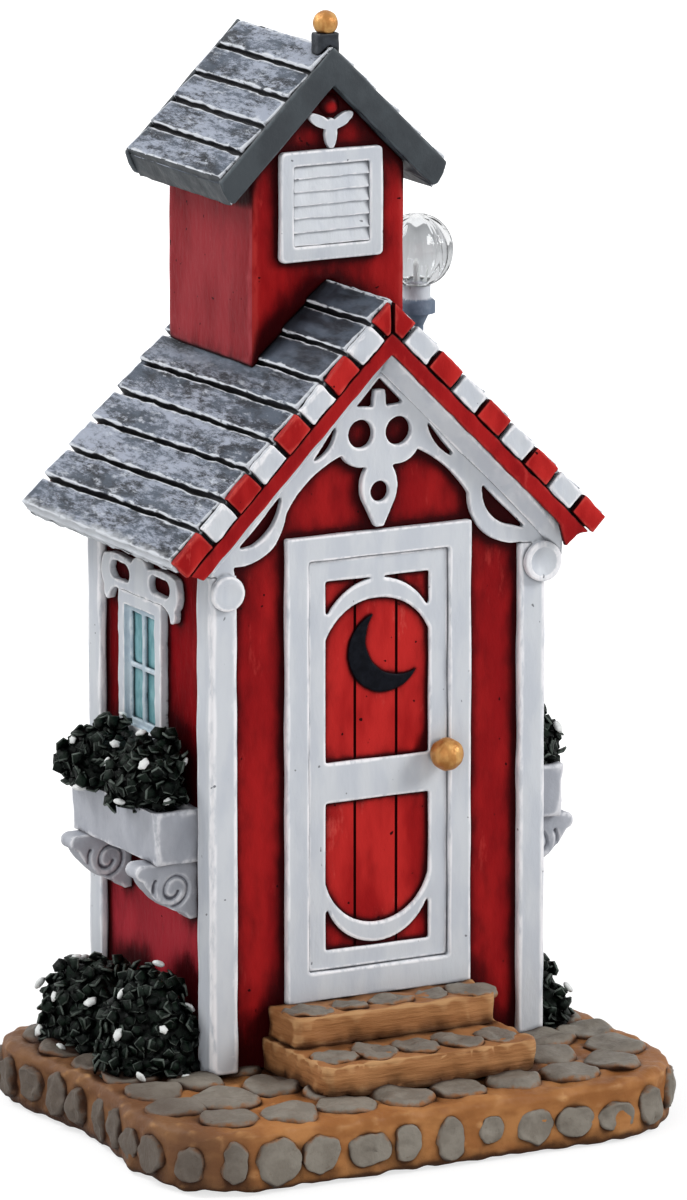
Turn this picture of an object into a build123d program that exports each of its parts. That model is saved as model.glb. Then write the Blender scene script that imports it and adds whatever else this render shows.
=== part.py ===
from build123d import *
import os
from math import cos, radians, sin, tan

os.makedirs("parts", exist_ok=True)

# A painted cast-resin village outhouse on a cobbled base. Millimetres; X to the right, Y to the back, Z up.
# The origin is under the middle of the base.

# Base and steps
yard_left = 13.95  # from the corner posts to the edge of the base
yard_right = 9.45
yard_front = 21.9
yard_rear = 10.7  # behind the house, at the lamp's lobe
base_height = 7.5
base_edge = 1.4  # rounding of the base's upper rim
base_foot = 0.9  # rounding of its bottom edge
lobe_width = 20.0
lobe_depth = 7.85  # how far the lamp's lobe stands out behind the rest of the base
lobe_sweep = 3.0
waist = 1.9  # how far the left edge draws in beside the bush
waist_run = 6.5  # the left edge draws in from this far before the corner post to this far behind it
waist_back = 10.6  # from the back corner to where the left edge starts to draw in
back_draw = 0.6  # how far the left edge stays in behind the waist
front_left_round = 10.0  # plan radii of the base's corners
front_right_round = 13.0
lobe_round = 9.0
lobe_shoulder = 6.0
lobe_root = 4.0
back_left_round = 9.0
step_rise = 3.5
lower_step_width = 26.5
lower_step_reach = 14.2  # from the faces of the corner posts
upper_step_width = 25.3
upper_step_reach = 6.0
step_shift = -1.0  # the steps sit a little left of the door's middle
step_corner = 1.0

# House body
house_width = 42.1
house_depth = 30.3
wall_inset = 1.0  # how far the wall stands behind the corner posts
wall_thickness = 3.0
post_width = 3.35
post_height = 56.4
post_edge = 0.5  # rounding of the posts' outer arrises
quirk_back = 0.95  # from the post's face to the thin groove along its side board
quirk_width = 0.3
quirk_depth = 0.3

# Fretwork in the gable
eye_radius = 1.6
eye_spacing = 4.7
eye_drop = 10.2  # from the inside of the ridge
drop_hole_radius = 1.2
drop_hole_drop = 16.8
scribe_gap = 0.1  # where the fretwork is cut clear of the door casing
right_volute = (0.75, 2.3, 1.2)  # in from the post's outer arris, radius, radius of its dish
left_volute = (1.85, 2.0, 0.9)
volute_proud = 0.9
volute_lap = 0.15  # how far the volutes run up over the foot of the fretwork
dish_depth = 0.5

# Lower roof
pitch = radians(44.8)
eave_overhang = 6.15
post_to_roof = 3.52  # from the top of a corner post to the roof's underside, at the outer arris
front_overhang = 2.0
back_overhang = 3.4
roof_thickness = 3.6
eave_edge = 2.5  # depth of the square edge at the eave; under it the slab is chamfered
eave_chamfer = 1.3
planks = 9
left_creep = 0.7  # the left-hand joints sit this much further up the slope
lap = 0.4
block_depth = 2.4
block_gap = 0.5
block_proud = 0.95
bead_lip = 0.68  # how far the bead hangs under the roof's underside
bead_proud = 0.8
bead_gap = 0.15  # between the blocks and the bead
tail_drop = 1.6  # how far the bead's right-hand tail hangs under the eave
tail_tip = 1.2  # how much further its pointed tip hangs
tail_length = 5.9  # from the eave to where the tail leaves the bead
soffit_drop = 2.55  # how far the soffit falls from the rake to the wall

# Door
casing_width = 23.2
casing_height = 52.7
casing_board = 2.8
casing_sill = 3.3
stile = 2.3
top_rail = 2.5
lock_rail_low = 29.3
lock_rail_high = 33.8
bottom_rail = 2.2
ring_width = 2.2
arch_crown = 52.0
arch_spring = 47.8
bowl_bottom = 15.1
bowl_spring = 20.2
door_set_back = 0.5  # door frame behind the casing's face
board_set_back = 0.55  # boards behind the door frame's face
knob_radius = 1.85
knob_height = 33.8
knob_neck = 0.5
moon_radius = 4.6
moon_x = 1.1
moon_z = 45.8
moon_thickness = 0.3
board_width = 5.2  # the middle board; the joints lie each side of it
board_joint = 0.35
groove_depth = 0.3

# Tower
tower_width = 19.2
tower_front = 12.05  # from the front of the house to the tower's front wall
tower_behind = 2.1  # how far the tower runs past the back of the house
tower_wall = 2.5
tower_edge = 0.5  # rounding of its upright arrises
tower_rise = 26.1  # from the lower ridge to the tower's ridge
tower_pitch = radians(44.6)
tower_eave = 4.6
tower_overhang = 0.9
tower_planks = 5
tower_nose = ((0.6, 1.3), (0.85, 2.5), (0.5, 3.1))  # the swelling at the eave: past the planks, and depth
fascia_proud = 0.6
vent_width = 12.8
vent_height = 12.3
vent_rise = 2.3  # from the lower ridge to the bottom of the vent's frame
vent_corner = 0.6
vent_board = 1.65
vent_proud = 0.9
slats = 6
slat_lip = 0.65  # how far each slat's lower edge stands out
slat_tuck = 0.2
boss_radius = 1.35
boss_proud = 0.85
boss_drop = 6.6  # from the tower's ridge
stem_length = 3.45
stem_width = 1.5
leaf_length = 3.0
leaf_width = 1.35
leaf_drop = 0.3
leaf_spread = 1.4
leaf_tilt = 30
trefoil_proud = 0.7
finial_back = 0.75  # from the tower's front wall to the finial's axis
block_width = 2.6
finial_depth = 2.2
block_rise = 1.3
block_seat = 1.2  # how far the block comes down over the ridge
block_corner = 0.4
ball_radius = 1.4
ball_neck = 0.95

# Windows and flower boxes on the side walls
window_width = 10.4
window_bottom = 34.5
window_top = 51.0
window_board = 1.5
sash_board = 0.7
sash_thickness = 0.5
muntin = 0.55
window_back = 2.2  # the windows sit behind the middle of the side walls
box_gap = 1.4  # between each end of the box and the corner posts, before the shift
box_shift = -0.55  # the boxes sit a little forward of the middle
crest_inset = 1.1  # how far the window's crest stops short of the box's length
crest_height = 4.4
crest_slot = 2.0  # width of the crest's two pierced slots
crest_slot_length = 5.0
crest_slot_out = 4.8  # from the window's middle
box_depth = 5.8
box_bottom = 23.5
box_height = 6.0
box_wall = 0.9
box_flare = 0.4  # how far the front leans out from bottom to top
soil_drop = 1.0
plant_radius = 5.4
plant_out = 2.4  # from the posts' side faces to the middle of each clump
plant_lift = 3.2  # from the soil to the middle of each clump
console_width = 2.9
console_reach = 7.6
console_nose = 0.9  # radius of the rolled front
console_belly = ((4.7, -4.4), (1.6, -5.9))  # out from the wall, and under the box
console_foot = ((0.9, -6.7), (0, -6.6))
scroll_line = 0.45  # width of the scroll cut in each side
console_inset = 0.95  # from the end of the box

# Bushes on the ground: each is a front and a rear mound grown together against the house
bush_height = 11.2
left_bush_reach = 9.6
right_bush_reach = 7.2
front_mound = (-7.55, 13.0, 0)  # from the middle of the house, length, and how much lower it is
rear_mound = (5.85, 17.0, 1.5)
mound_middle = 0.38  # share of the reach at which the mounds' middles stand
plant_gap = 0.1  # between the plants and the posts' side faces

# Lamp
lamp_out = 3.35  # from the line of the side posts
lamp_behind = 6.2  # from the back of the house
lamp_post_radius = 0.8
foot_radius = 2.4
foot_profile = (1.0, 2.2, 4.0)  # heights where the foot's rim ends, its cone starts and the post starts
cone_radius = 1.5
cone_height = 1.5
lamp_height = 74.4
cap_radius = 2.15  # the socket's lower cap
cap_height = 1.3
cap_chamfer = 0.5
socket_radius = 1.6
socket_height = 3.2
globe_radius = 4.3
globe_wall = 0.5
globe_neck = 1.6
led_radius = 0.8
led_height = 2.2

# Worked out from the values above
base_width = yard_left + house_width + yard_right
base_depth = yard_front + house_depth + yard_rear
house_x = -base_width / 2 + yard_left + house_width / 2  # middle of the house
front_y = -base_depth / 2 + yard_front  # front faces of the corner posts
half_width = house_width / 2
wall_half = half_width - wall_inset
roof_reach = half_width + eave_overhang
front = Plane(origin=(house_x, front_y, base_height), x_dir=(1, 0, 0), z_dir=(0, -1, 0))
wall_face = front.offset(-wall_inset)
back = front.offset(-house_depth)
middle = Plane(origin=(house_x, 0, 0), z_dir=(1, 0, 0))
slope_length = roof_reach / cos(pitch)
soffit_apex = post_height + post_to_roof + half_width * tan(pitch)
ridge_height = soffit_apex + roof_thickness / cos(pitch)
bead_depth = roof_thickness + bead_lip
tower_ridge = ridge_height + tower_rise
tower_reach = tower_width / 2 + tower_eave
tower_depth = house_depth - tower_front + tower_behind
window_y = house_depth / 2 + window_back
box_y = house_depth / 2 + box_shift
box_length = house_depth - 2 * (post_width + box_gap)


def save(piece, name):
    piece.part.label = name
    export_step(piece.part, f"parts/{name}.step")


def slope_point(along, out, ridge, angle):
    """A point a given way down the right-hand slope and a given height out of it."""
    return (along * cos(angle) + out * sin(angle), ridge - along * sin(angle) + out * cos(angle))


def mirrored(points):
    """The same outline on the left of the middle line, in reverse order."""
    return [(-x, z) for x, z in reversed(points)]


# ---------------------------------------------------------------- base and steps
with BuildPart() as base:
    with BuildSketch() as base_outline:
        left, right = -base_width / 2, base_width / 2
        near, far = -base_depth / 2, base_depth / 2
        lobe_corner = (right - lobe_width, far)
        lobe_foot = (right - lobe_width - lobe_sweep, far - lobe_depth)
        back_corner = (left + back_draw, far - lobe_depth)
        with BuildLine():
            Polyline(
                (left, near), (right, near), (right, far), lobe_corner, lobe_foot, back_corner,
                (left + back_draw, far - lobe_depth - waist_back), (left + waist, front_y + waist_run),
                (left, front_y - waist_run), close=True,
            )
        make_face()
        for corner, radius in (
            ((left, near), front_left_round), ((right, near), front_right_round), ((right, far), lobe_round),
            (lobe_corner, lobe_shoulder), (lobe_foot, lobe_root), (back_corner, back_left_round),
        ):
            fillet(base_outline.vertices().sort_by_distance(corner)[0], radius)
    extrude(amount=base_height)
    fillet(base.faces().sort_by(Axis.Z)[-1].edges(), base_edge)
    fillet(base.faces().sort_by(Axis.Z)[0].edges(), base_foot)
save(base, "base_slab")

step_x = house_x + step_shift
wall_y = front_y + wall_inset
for level, width, reach, step_name in (
    (0, lower_step_width, lower_step_reach, "lower_step"),
    (1, upper_step_width, upper_step_reach, "upper_step"),
):
    with BuildPart() as step:
        with BuildSketch(Plane.XY.offset(base_height + level * step_rise)):
            with Locations((step_x, wall_y - (reach + wall_inset) / 2)):
                Rectangle(width, reach + wall_inset)
        extrude(amount=step_rise)
        fillet(step.edges().filter_by(Axis.Z).group_by(Axis.Y)[0], step_corner)
    save(step, step_name)

# ---------------------------------------------------------------- walls and corner posts
door_sill = 2 * step_rise + casing_sill
door_top = 2 * step_rise + casing_height - casing_board
door_width = casing_width - 2 * casing_board
side_top = soffit_apex - wall_half * tan(pitch)
gable = [
    (-wall_half, 0), (wall_half, 0), (wall_half, side_top), (0, soffit_apex), (-wall_half, side_top),
]

with BuildPart() as front_wall:
    with BuildSketch(wall_face):
        Polygon(*gable, align=None)
        with Locations((0, (door_sill + door_top) / 2)):
            Rectangle(door_width, door_top - door_sill, mode=Mode.SUBTRACT)
    extrude(amount=-wall_thickness)
save(front_wall, "front_wall")

with BuildPart() as back_wall:
    with BuildSketch(back.offset(wall_inset)):
        Polygon(*gable, align=None)
    extrude(amount=wall_thickness)
save(back_wall, "back_wall")

side_length = house_depth - 2 * (wall_inset + wall_thickness)
side_middle = house_depth / 2
left_face = Plane(
    origin=(house_x - wall_half, front_y + window_y, base_height), x_dir=(0, -1, 0), z_dir=(-1, 0, 0)
)
glass_width = window_width - 2 * window_board
window_middle = (window_bottom + window_top) / 2
opening_height = window_top - window_bottom - 2 * window_board
with BuildPart() as left_wall:
    with BuildSketch(left_face):
        with Locations((window_y - side_middle, side_top / 2)):
            Rectangle(side_length, side_top)
        with Locations((0, window_middle)):
            Rectangle(glass_width, opening_height, mode=Mode.SUBTRACT)
    extrude(amount=-wall_thickness)
save(left_wall, "left_wall")

with BuildPart() as right_wall:
    mirror(left_wall.part, about=middle)
save(right_wall, "right_wall")

for end_y, into, end_name in ((front_y, 1, "front"), (front_y + house_depth, -1, "back")):
    with BuildPart() as posts:
        for side in (-1, 1):
            corner_x = house_x + side * half_width
            with BuildSketch(Plane.XY.offset(base_height)) as angle_section:
                with BuildLine():
                    Polyline(
                        (corner_x, end_y),
                        (corner_x - side * post_width, end_y),
                        (corner_x - side * post_width, end_y + into * wall_inset),
                        (corner_x - side * wall_inset, end_y + into * wall_inset),
                        (corner_x - side * wall_inset, end_y + into * post_width),
                        (corner_x, end_y + into * post_width),
                        close=True,
                    )
                make_face()
                fillet(angle_section.vertices().sort_by_distance((corner_x, end_y))[0], post_edge)
                with Locations((corner_x, end_y + into * (quirk_back + quirk_width / 2))):
                    Rectangle(2 * quirk_depth, quirk_width, mode=Mode.SUBTRACT)
            extrude(amount=post_height)
    save(posts, f"{end_name}_posts")

# ---------------------------------------------------------------- door
with BuildPart() as casing:
    with BuildSketch(wall_face):
        with Locations((0, 2 * step_rise + casing_height / 2)):
            Rectangle(casing_width, casing_height)
        with Locations((0, (door_sill + door_top) / 2)):
            Rectangle(door_width, door_top - door_sill, mode=Mode.SUBTRACT)
    extrude(amount=wall_inset)
save(casing, "door_casing")

opening_half = door_width / 2 - stile
panel_high = door_top - top_rail
panel_low = door_sill + bottom_rail
door_face = front.offset(-door_set_back)
frame_depth = board_set_back
with BuildPart() as door_frame:
    with BuildSketch(door_face):
        with Locations((0, (door_sill + door_top) / 2)):
            Rectangle(door_width, door_top - door_sill)
        with Locations((0, (lock_rail_high + panel_high) / 2)):
            Rectangle(2 * opening_half, panel_high - lock_rail_high, mode=Mode.SUBTRACT)
        with Locations((0, (panel_low + lock_rail_low) / 2)):
            Rectangle(2 * opening_half, lock_rail_low - panel_low, mode=Mode.SUBTRACT)
        with BuildLine():
            outer = ThreePointArc(
                (-opening_half, arch_spring + ring_width), (0, arch_crown + ring_width),
                (opening_half, arch_spring + ring_width),
            )
            Line(outer @ 1, (opening_half, arch_spring))
            inner = ThreePointArc((opening_half, arch_spring), (0, arch_crown), (-opening_half, arch_spring))
            Line(inner @ 1, outer @ 0)
        make_face()
        with BuildLine():
            under = ThreePointArc(
                (-opening_half, bowl_spring - ring_width), (0, bowl_bottom - ring_width),
                (opening_half, bowl_spring - ring_width),
            )
            Line(under @ 1, (opening_half, bowl_spring))
            over = ThreePointArc((opening_half, bowl_spring), (0, bowl_bottom), (-opening_half, bowl_spring))
            Line(over @ 1, under @ 0)
        make_face()
    extrude(amount=-frame_depth)
save(door_frame, "door_frame")

board_face = door_face.offset(-frame_depth)
with BuildPart() as door_boards:
    with BuildSketch(board_face):
        with Locations((0, (door_sill + door_top) / 2)):
            Rectangle(door_width, door_top - door_sill)
    extrude(amount=-(wall_inset + wall_thickness - door_set_back - frame_depth))
    with BuildSketch(board_face):
        with Locations((0, (panel_low + panel_high) / 2)):
            with GridLocations(board_width, 0, 2, 1):
                Rectangle(board_joint, panel_high - panel_low)
    extrude(amount=-groove_depth, mode=Mode.SUBTRACT)
save(door_boards, "door_boards")

with BuildPart() as moon:
    with BuildSketch(board_face):
        with Locations((moon_x, moon_z)):
            Circle(moon_radius)
        with Locations((moon_x + moon_radius * 0.41, moon_z + moon_radius * 0.33)):
            Circle(moon_radius * 0.95, mode=Mode.SUBTRACT)
    extrude(amount=moon_thickness)
save(moon, "crescent_moon")

knob_plane = Plane(origin=(house_x + opening_half + stile / 2, front_y + door_set_back,
                           base_height + knob_height), z_dir=(0, -1, 0))
with BuildPart() as knob:
    with BuildSketch(knob_plane):
        Circle(knob_radius / 2)
    extrude(amount=knob_radius)
    with Locations(knob_plane.offset(knob_neck + 0.8 * knob_radius).origin):
        Sphere(knob_radius)
    split(bisect_by=knob_plane, keep=Keep.TOP)
save(knob, "door_knob")

# ---------------------------------------------------------------- gable fretwork and soffits
foot_x = half_width - post_width
casing_top = 2 * step_rise + casing_height


def rail(side, x, rise):
    """A point of the fretwork's foot end: a way in from the post, and a way over the post's top."""
    return (side * (foot_x - x), post_height + rise)


def crown(side, x, drop):
    """A point of the fretwork's middle: a way out from the middle line, and a way under the apex."""
    return (side * x, soffit_apex - drop)


# Each arm: the heel over the post, the bow, the elbow and the shoulder of its lower edge, then the three
# points of its upper slot and the four of its lower slot. The left-hand arm is cut higher than the right.
arms = (
    (1, ((-0.1, 0.15), (5.1, 2.3), (6.5, 6.3), (8.9, 9.2)),
     ((5.8, 9.2), (7.0, 12.0), (9.6, 13.9)), ((4.8, 7.2), (3.6, 3.5), (1.0, 2.2), (-0.9, 1.6)), right_volute),
    (-1, ((-0.5, 0.9), (4.8, 3.0), (6.1, 6.2), (8.9, 9.7)),
     ((5.4, 8.8), (6.2, 11.4), (8.5, 12.8)), ((5.5, 8.4), (4.4, 5.0), (1.8, 2.9), (0.1, 2.8)), left_volute),
)
# The edge of the middle drop and half of the pierced peak: out from the middle line, and under the apex.
drop_edge = ((4.7, 12.4), (3.2, 13.75), (1.5, 13.9), (2.25, 16.1), (1.6, 18.4), (0.5, 20.8), (0, 20.8))
peak = ((0, 4.0), (3.0, 7.1), (0.8, 7.3), (0.65, 5.4))
with BuildPart() as fretwork:
    with BuildSketch(front):
        for side, lower_edge, upper_slot, lower_slot, volute in arms:
            heel, bow, elbow, shoulder = [rail(side, *point) for point in lower_edge]
            edge = [crown(side, *point) for point in drop_edge]
            with BuildLine():
                Polyline((0, soffit_apex), crown(side, half_width, half_width * tan(pitch)),
                         (side * half_width, post_height), rail(side, -0.3, 0), heel)
                ThreePointArc(heel, bow, elbow)
                ThreePointArc(elbow, shoulder, edge[0])
                ThreePointArc(*edge[0:3])
                ThreePointArc(*edge[2:5])
                Polyline(*edge[4:], (0, soffit_apex))
            make_face()
        with Locations(crown(1, eye_spacing / 2, eye_drop), crown(-1, eye_spacing / 2, eye_drop)):
            Circle(eye_radius, mode=Mode.SUBTRACT)
        with Locations(crown(1, 0, drop_hole_drop)):
            Circle(drop_hole_radius, mode=Mode.SUBTRACT)
        half_peak = [crown(1, *point) for point in peak]
        with BuildLine():
            Polyline(*half_peak, *mirrored(half_peak)[:-1], close=True)
        make_face(mode=Mode.SUBTRACT)
        for side, lower_edge, upper_slot, lower_slot, volute in arms:
            with BuildLine():
                over = ThreePointArc(*[crown(side, *point) for point in upper_slot])
                Line(over @ 1, over @ 0)
            make_face(mode=Mode.SUBTRACT)
            with BuildLine():
                under = ThreePointArc(*[rail(side, *point) for point in lower_slot[:3]])
                Polyline(under @ 1, rail(side, *lower_slot[3]), under @ 0)
            make_face(mode=Mode.SUBTRACT)
        with Locations((0, casing_top / 2)):
            Rectangle(casing_width + 2 * scribe_gap, casing_top + 2 * scribe_gap, mode=Mode.SUBTRACT)
    extrude(amount=-wall_inset)
    for side, lower_edge, upper_slot, lower_slot, (inset, radius, dish) in arms:
        centre = (side * (half_width - inset), post_height + volute_lap - radius)
        with BuildSketch(front):
            with Locations(centre):
                Circle(radius)
        extrude(amount=volute_proud)
        with BuildSketch(front.offset(volute_proud)):
            with Locations(centre):
                Circle(dish)
        extrude(amount=-dish_depth, mode=Mode.SUBTRACT)
save(fretwork, "gable_fretwork")


def chevron(top, bottom):
    """Both slopes of a band under the ridge, between two heights at the middle line."""
    fall = half_width * tan(pitch)
    return [
        (0, top), (half_width, top - fall), (half_width, bottom - fall),
        (0, bottom), (-half_width, bottom - fall), (-half_width, top - fall),
    ]


bead_apex = ridge_height - bead_depth / cos(pitch)
rake_ends = ((front.offset(front_overhang), front, 1), (back.offset(-back_overhang), back, -1))
with BuildPart() as soffits:
    for rake_plane, wall_plane, outward in rake_ends:
        with BuildSketch(rake_plane):
            Polygon(*chevron(soffit_apex, bead_apex), align=None)
        with BuildSketch(wall_plane):
            Polygon(*chevron(soffit_apex, bead_apex - soffit_drop), align=None)
        loft(ruled=True)
    with BuildSketch(back):
        Polygon(*chevron(soffit_apex, bead_apex - soffit_drop), align=None)
    extrude(amount=wall_inset)
save(soffits, "soffits")

# ---------------------------------------------------------------- lower roof
def joint(i, count, length, creep):
    """How far down the slope the plank above ends."""
    return i * length / count - (creep if 0 < i < count else 0)


def plank_tops(count, length, ridge, angle, creep=0):
    """The upper side of one slope in section: lapped planks, each a little proud of the next."""
    tops = [(0, ridge)]
    for i in range(1, count + 1):
        tops.append(slope_point(joint(i, count, length, creep), lap, ridge, angle))
        if i < count:
            tops.append(slope_point(joint(i, count, length, creep), 0, ridge, angle))
    return tops


def underside(length, ridge, angle, nose):
    """The eave's edge, point by point, and the slab's underside back to the middle line."""
    points = [slope_point(length + along, -depth, ridge, angle) for along, depth in nose]
    return points + [(0, ridge - nose[-1][1] / cos(angle))]


roof_nose = ((0, eave_edge), (-eave_chamfer, roof_thickness))
roof_under = underside(slope_length, ridge_height, pitch, roof_nose)
right_tops = plank_tops(planks, slope_length, ridge_height, pitch)
left_tops = plank_tops(planks, slope_length, ridge_height, pitch, left_creep)
for section, side_name in ((right_tops + roof_under, "right"), (mirrored(left_tops + roof_under), "left")):
    with BuildPart() as slope:
        with BuildSketch(front.offset(front_overhang)):
            Polygon(*section, align=None)
        extrude(amount=-(house_depth + front_overhang + back_overhang))
    save(slope, f"roof_{side_name}")

bead_top = block_depth + bead_gap
eave_z = ridge_height - roof_reach * tan(pitch)
bead_start = [(0, ridge_height - bead_top / cos(pitch)),
              slope_point(slope_length - 0.6, -bead_top, ridge_height, pitch)]
tail_root = roof_reach - tail_length
right_bead = bead_start + [
    (roof_reach - 3.8, eave_z - tail_drop), (tail_root + 0.7, eave_z - tail_drop - tail_tip),
    (tail_root, bead_apex - tail_root * tan(pitch)),
]
left_bead = bead_start + [  # this one is cut short
    slope_point(slope_length - eave_chamfer, -bead_depth, ridge_height, pitch),
]
bead_outline = right_bead + [(0, bead_apex)] + mirrored(left_bead)[:-1]
with BuildPart() as beads:
    for rake_plane, wall_plane, outward in rake_ends:
        with BuildSketch(rake_plane):
            Polygon(*bead_outline, align=None)
        extrude(amount=outward * bead_proud)
save(beads, "rake_beads")

for first, colour in ((0, "red"), (1, "white")):
    with BuildPart() as blocks:
        for i in range(first, planks, 2):
            for side, creep in ((1, 0), (-1, left_creep)):
                upper = joint(i, planks, slope_length, creep) + block_gap / 2
                lower = joint(i + 1, planks, slope_length, creep) - block_gap / 2
                block = [
                    slope_point(upper, 0, ridge_height, pitch), slope_point(lower, 0, ridge_height, pitch),
                    slope_point(lower, -block_depth, ridge_height, pitch),
                    slope_point(upper, -block_depth, ridge_height, pitch),
                ]
                if i == 0:
                    half_gap = block_gap / 2
                    block[0] = (half_gap, ridge_height - half_gap * tan(pitch))
                    block[3] = (half_gap, block[0][1] - block_depth / cos(pitch))
                for rake_plane, wall_plane, outward in rake_ends:
                    with BuildSketch(rake_plane):
                        Polygon(*(block if side == 1 else mirrored(block)), align=None)
                    extrude(amount=outward * block_proud)
    save(blocks, f"{colour}_rake_blocks")

# ---------------------------------------------------------------- tower
tower_half = tower_width / 2
tower_underside = tower_ridge - tower_nose[-1][1] / cos(tower_pitch)
tower_side_top = tower_underside - tower_half * tan(tower_pitch)
saddle_z = ridge_height - tower_half * tan(pitch)
saddle_cut = 2  # the tower is drawn this far into the roof, then scribed to it
tower_face = front.offset(-tower_front)
tower_gable = [
    (-tower_half, saddle_z - saddle_cut), (tower_half, saddle_z - saddle_cut), (tower_half, tower_side_top),
    (0, tower_underside), (-tower_half, tower_side_top),
]
with BuildPart() as tower:
    with BuildSketch(tower_face):
        Polygon(*tower_gable, align=None)
    extrude(amount=-tower_depth)
    fillet(tower.edges().filter_by(Axis.Z), tower_edge)
    with BuildSketch(tower_face.offset(-tower_wall)):
        with Locations((0, saddle_z)):
            Rectangle(tower_width - 2 * tower_wall, 2 * (tower_ridge - saddle_z))
    extrude(amount=-(tower_depth - 2 * tower_wall), mode=Mode.SUBTRACT)
    with BuildSketch(tower_face.offset(1)):
        Polygon(*(right_tops + [(0, saddle_z - tower_width)] + mirrored(left_tops)[:-1]), align=None)
    extrude(amount=-(tower_depth + 2), mode=Mode.SUBTRACT)
save(tower, "tower")

tower_slope = tower_reach / cos(tower_pitch)
tower_tops = plank_tops(tower_planks, tower_slope, tower_ridge, tower_pitch)
tower_under = underside(tower_slope, tower_ridge, tower_pitch, tower_nose)
with BuildPart() as tower_roof_right:
    with BuildSketch(tower_face.offset(tower_overhang)):
        Polygon(*(tower_tops + tower_under), align=None)
    extrude(amount=-(tower_depth + 2 * tower_overhang))
save(tower_roof_right, "tower_roof_right")

with BuildPart() as tower_roof_left:
    mirror(tower_roof_right.part, about=middle)
save(tower_roof_left, "tower_roof_left")

right_fascia = [(0, tower_ridge), slope_point(tower_slope, 0, tower_ridge, tower_pitch)] + tower_under
with BuildPart() as fascias:
    for outward in (1, -1):
        middle_of_tower = tower_face.offset(-tower_depth / 2)
        with BuildSketch(middle_of_tower.offset(outward * (tower_depth / 2 + tower_overhang))):
            Polygon(*(right_fascia + mirrored(right_fascia)[1:-1]), align=None)
        extrude(amount=outward * fascia_proud)
save(fascias, "tower_fascias")

vent_bottom = ridge_height + vent_rise
vent_top = vent_bottom + vent_height
vent_middle = (vent_bottom + vent_top) / 2
slot_width, slot_height = vent_width - 2 * vent_board, vent_height - 2 * vent_board
with BuildPart() as vent_frame:
    with BuildSketch(tower_face):
        with Locations((0, vent_middle)):
            RectangleRounded(vent_width, vent_height, vent_corner)
            Rectangle(slot_width, slot_height, mode=Mode.SUBTRACT)
    extrude(amount=vent_proud)
save(vent_frame, "vent_frame")

with BuildPart() as louvres:
    with BuildSketch(Plane(origin=tower_face.origin, x_dir=(0, 1, 0), z_dir=(1, 0, 0)).offset(
            -slot_width / 2)):
        slat = slot_height / slats
        low = vent_bottom + vent_board
        for i in range(slats):
            Polygon((0, low + i * slat), (-slat_lip, low + i * slat), (-slat_tuck, low + (i + 1) * slat),
                    (0, low + (i + 1) * slat), align=None)
    extrude(amount=slot_width)
save(louvres, "vent_louvres")

with BuildPart() as trefoil:
    with BuildSketch(tower_face):
        with Locations((0, vent_top + stem_length / 2)):
            Ellipse(stem_width / 2, stem_length / 2)
        leaf_z = vent_top + stem_length - leaf_drop
        for side in (1, -1):
            with Locations(Location((side * leaf_spread, leaf_z), side * leaf_tilt)):
                Ellipse(leaf_length / 2, leaf_width / 2)
    extrude(amount=trefoil_proud)
save(trefoil, "trefoil")

boss_sphere = (boss_radius**2 + boss_proud**2) / (2 * boss_proud)
with BuildPart() as boss:
    boss_middle = tower_face.offset(boss_proud - boss_sphere).origin + Vector(0, 0, tower_ridge - boss_drop)
    with Locations(boss_middle):
        Sphere(boss_sphere)
    split(bisect_by=tower_face, keep=Keep.TOP)
save(boss, "gable_boss")

finial_y = front_y + tower_front + finial_back
with BuildPart() as finial_block:
    with BuildSketch(Plane.XY.offset(base_height + tower_ridge - block_seat)):
        with Locations((house_x, finial_y)):
            RectangleRounded(block_width, finial_depth, block_corner)
    extrude(amount=block_seat + block_rise)
    add(tower_roof_right.part, mode=Mode.SUBTRACT)
    add(tower_roof_left.part, mode=Mode.SUBTRACT)
save(finial_block, "finial_block")

ball_seat = Plane.XY.offset(base_height + tower_ridge + block_rise)
with BuildPart() as finial_ball:
    with Locations((house_x, finial_y, ball_seat.origin.Z + (ball_radius**2 - ball_neck**2) ** 0.5)):
        Sphere(ball_radius)
    split(bisect_by=ball_seat, keep=Keep.TOP)
save(finial_ball, "finial_ball")

# ---------------------------------------------------------------- windows
with BuildPart() as window_frame:
    with BuildSketch(left_face):
        with Locations((0, window_middle)):
            Rectangle(window_width, window_top - window_bottom)
            Rectangle(glass_width, opening_height, mode=Mode.SUBTRACT)
    extrude(amount=wall_inset)
    with BuildSketch(left_face):
        with Locations((0, window_middle)):
            Rectangle(glass_width, opening_height)
            pane_width = (glass_width - 2 * sash_board - muntin) / 2
            pane_height = (opening_height - 2 * sash_board - muntin) / 2
            with GridLocations(pane_width + muntin, pane_height + muntin, 2, 2):
                Rectangle(pane_width, pane_height, mode=Mode.SUBTRACT)
    extrude(amount=sash_thickness)
with BuildPart() as window_panes:
    with BuildSketch(left_face):
        with Locations((0, window_middle)):
            Rectangle(glass_width, opening_height)
    extrude(amount=-wall_thickness)
crest_reach = box_length / 2 - crest_inset


def curl(share, rise):
    """A point of the crest's end, part of the way from the window to the tip, and a way over the window."""
    return (window_width / 2 + share * (crest_reach - window_width / 2), window_top + rise)


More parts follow.
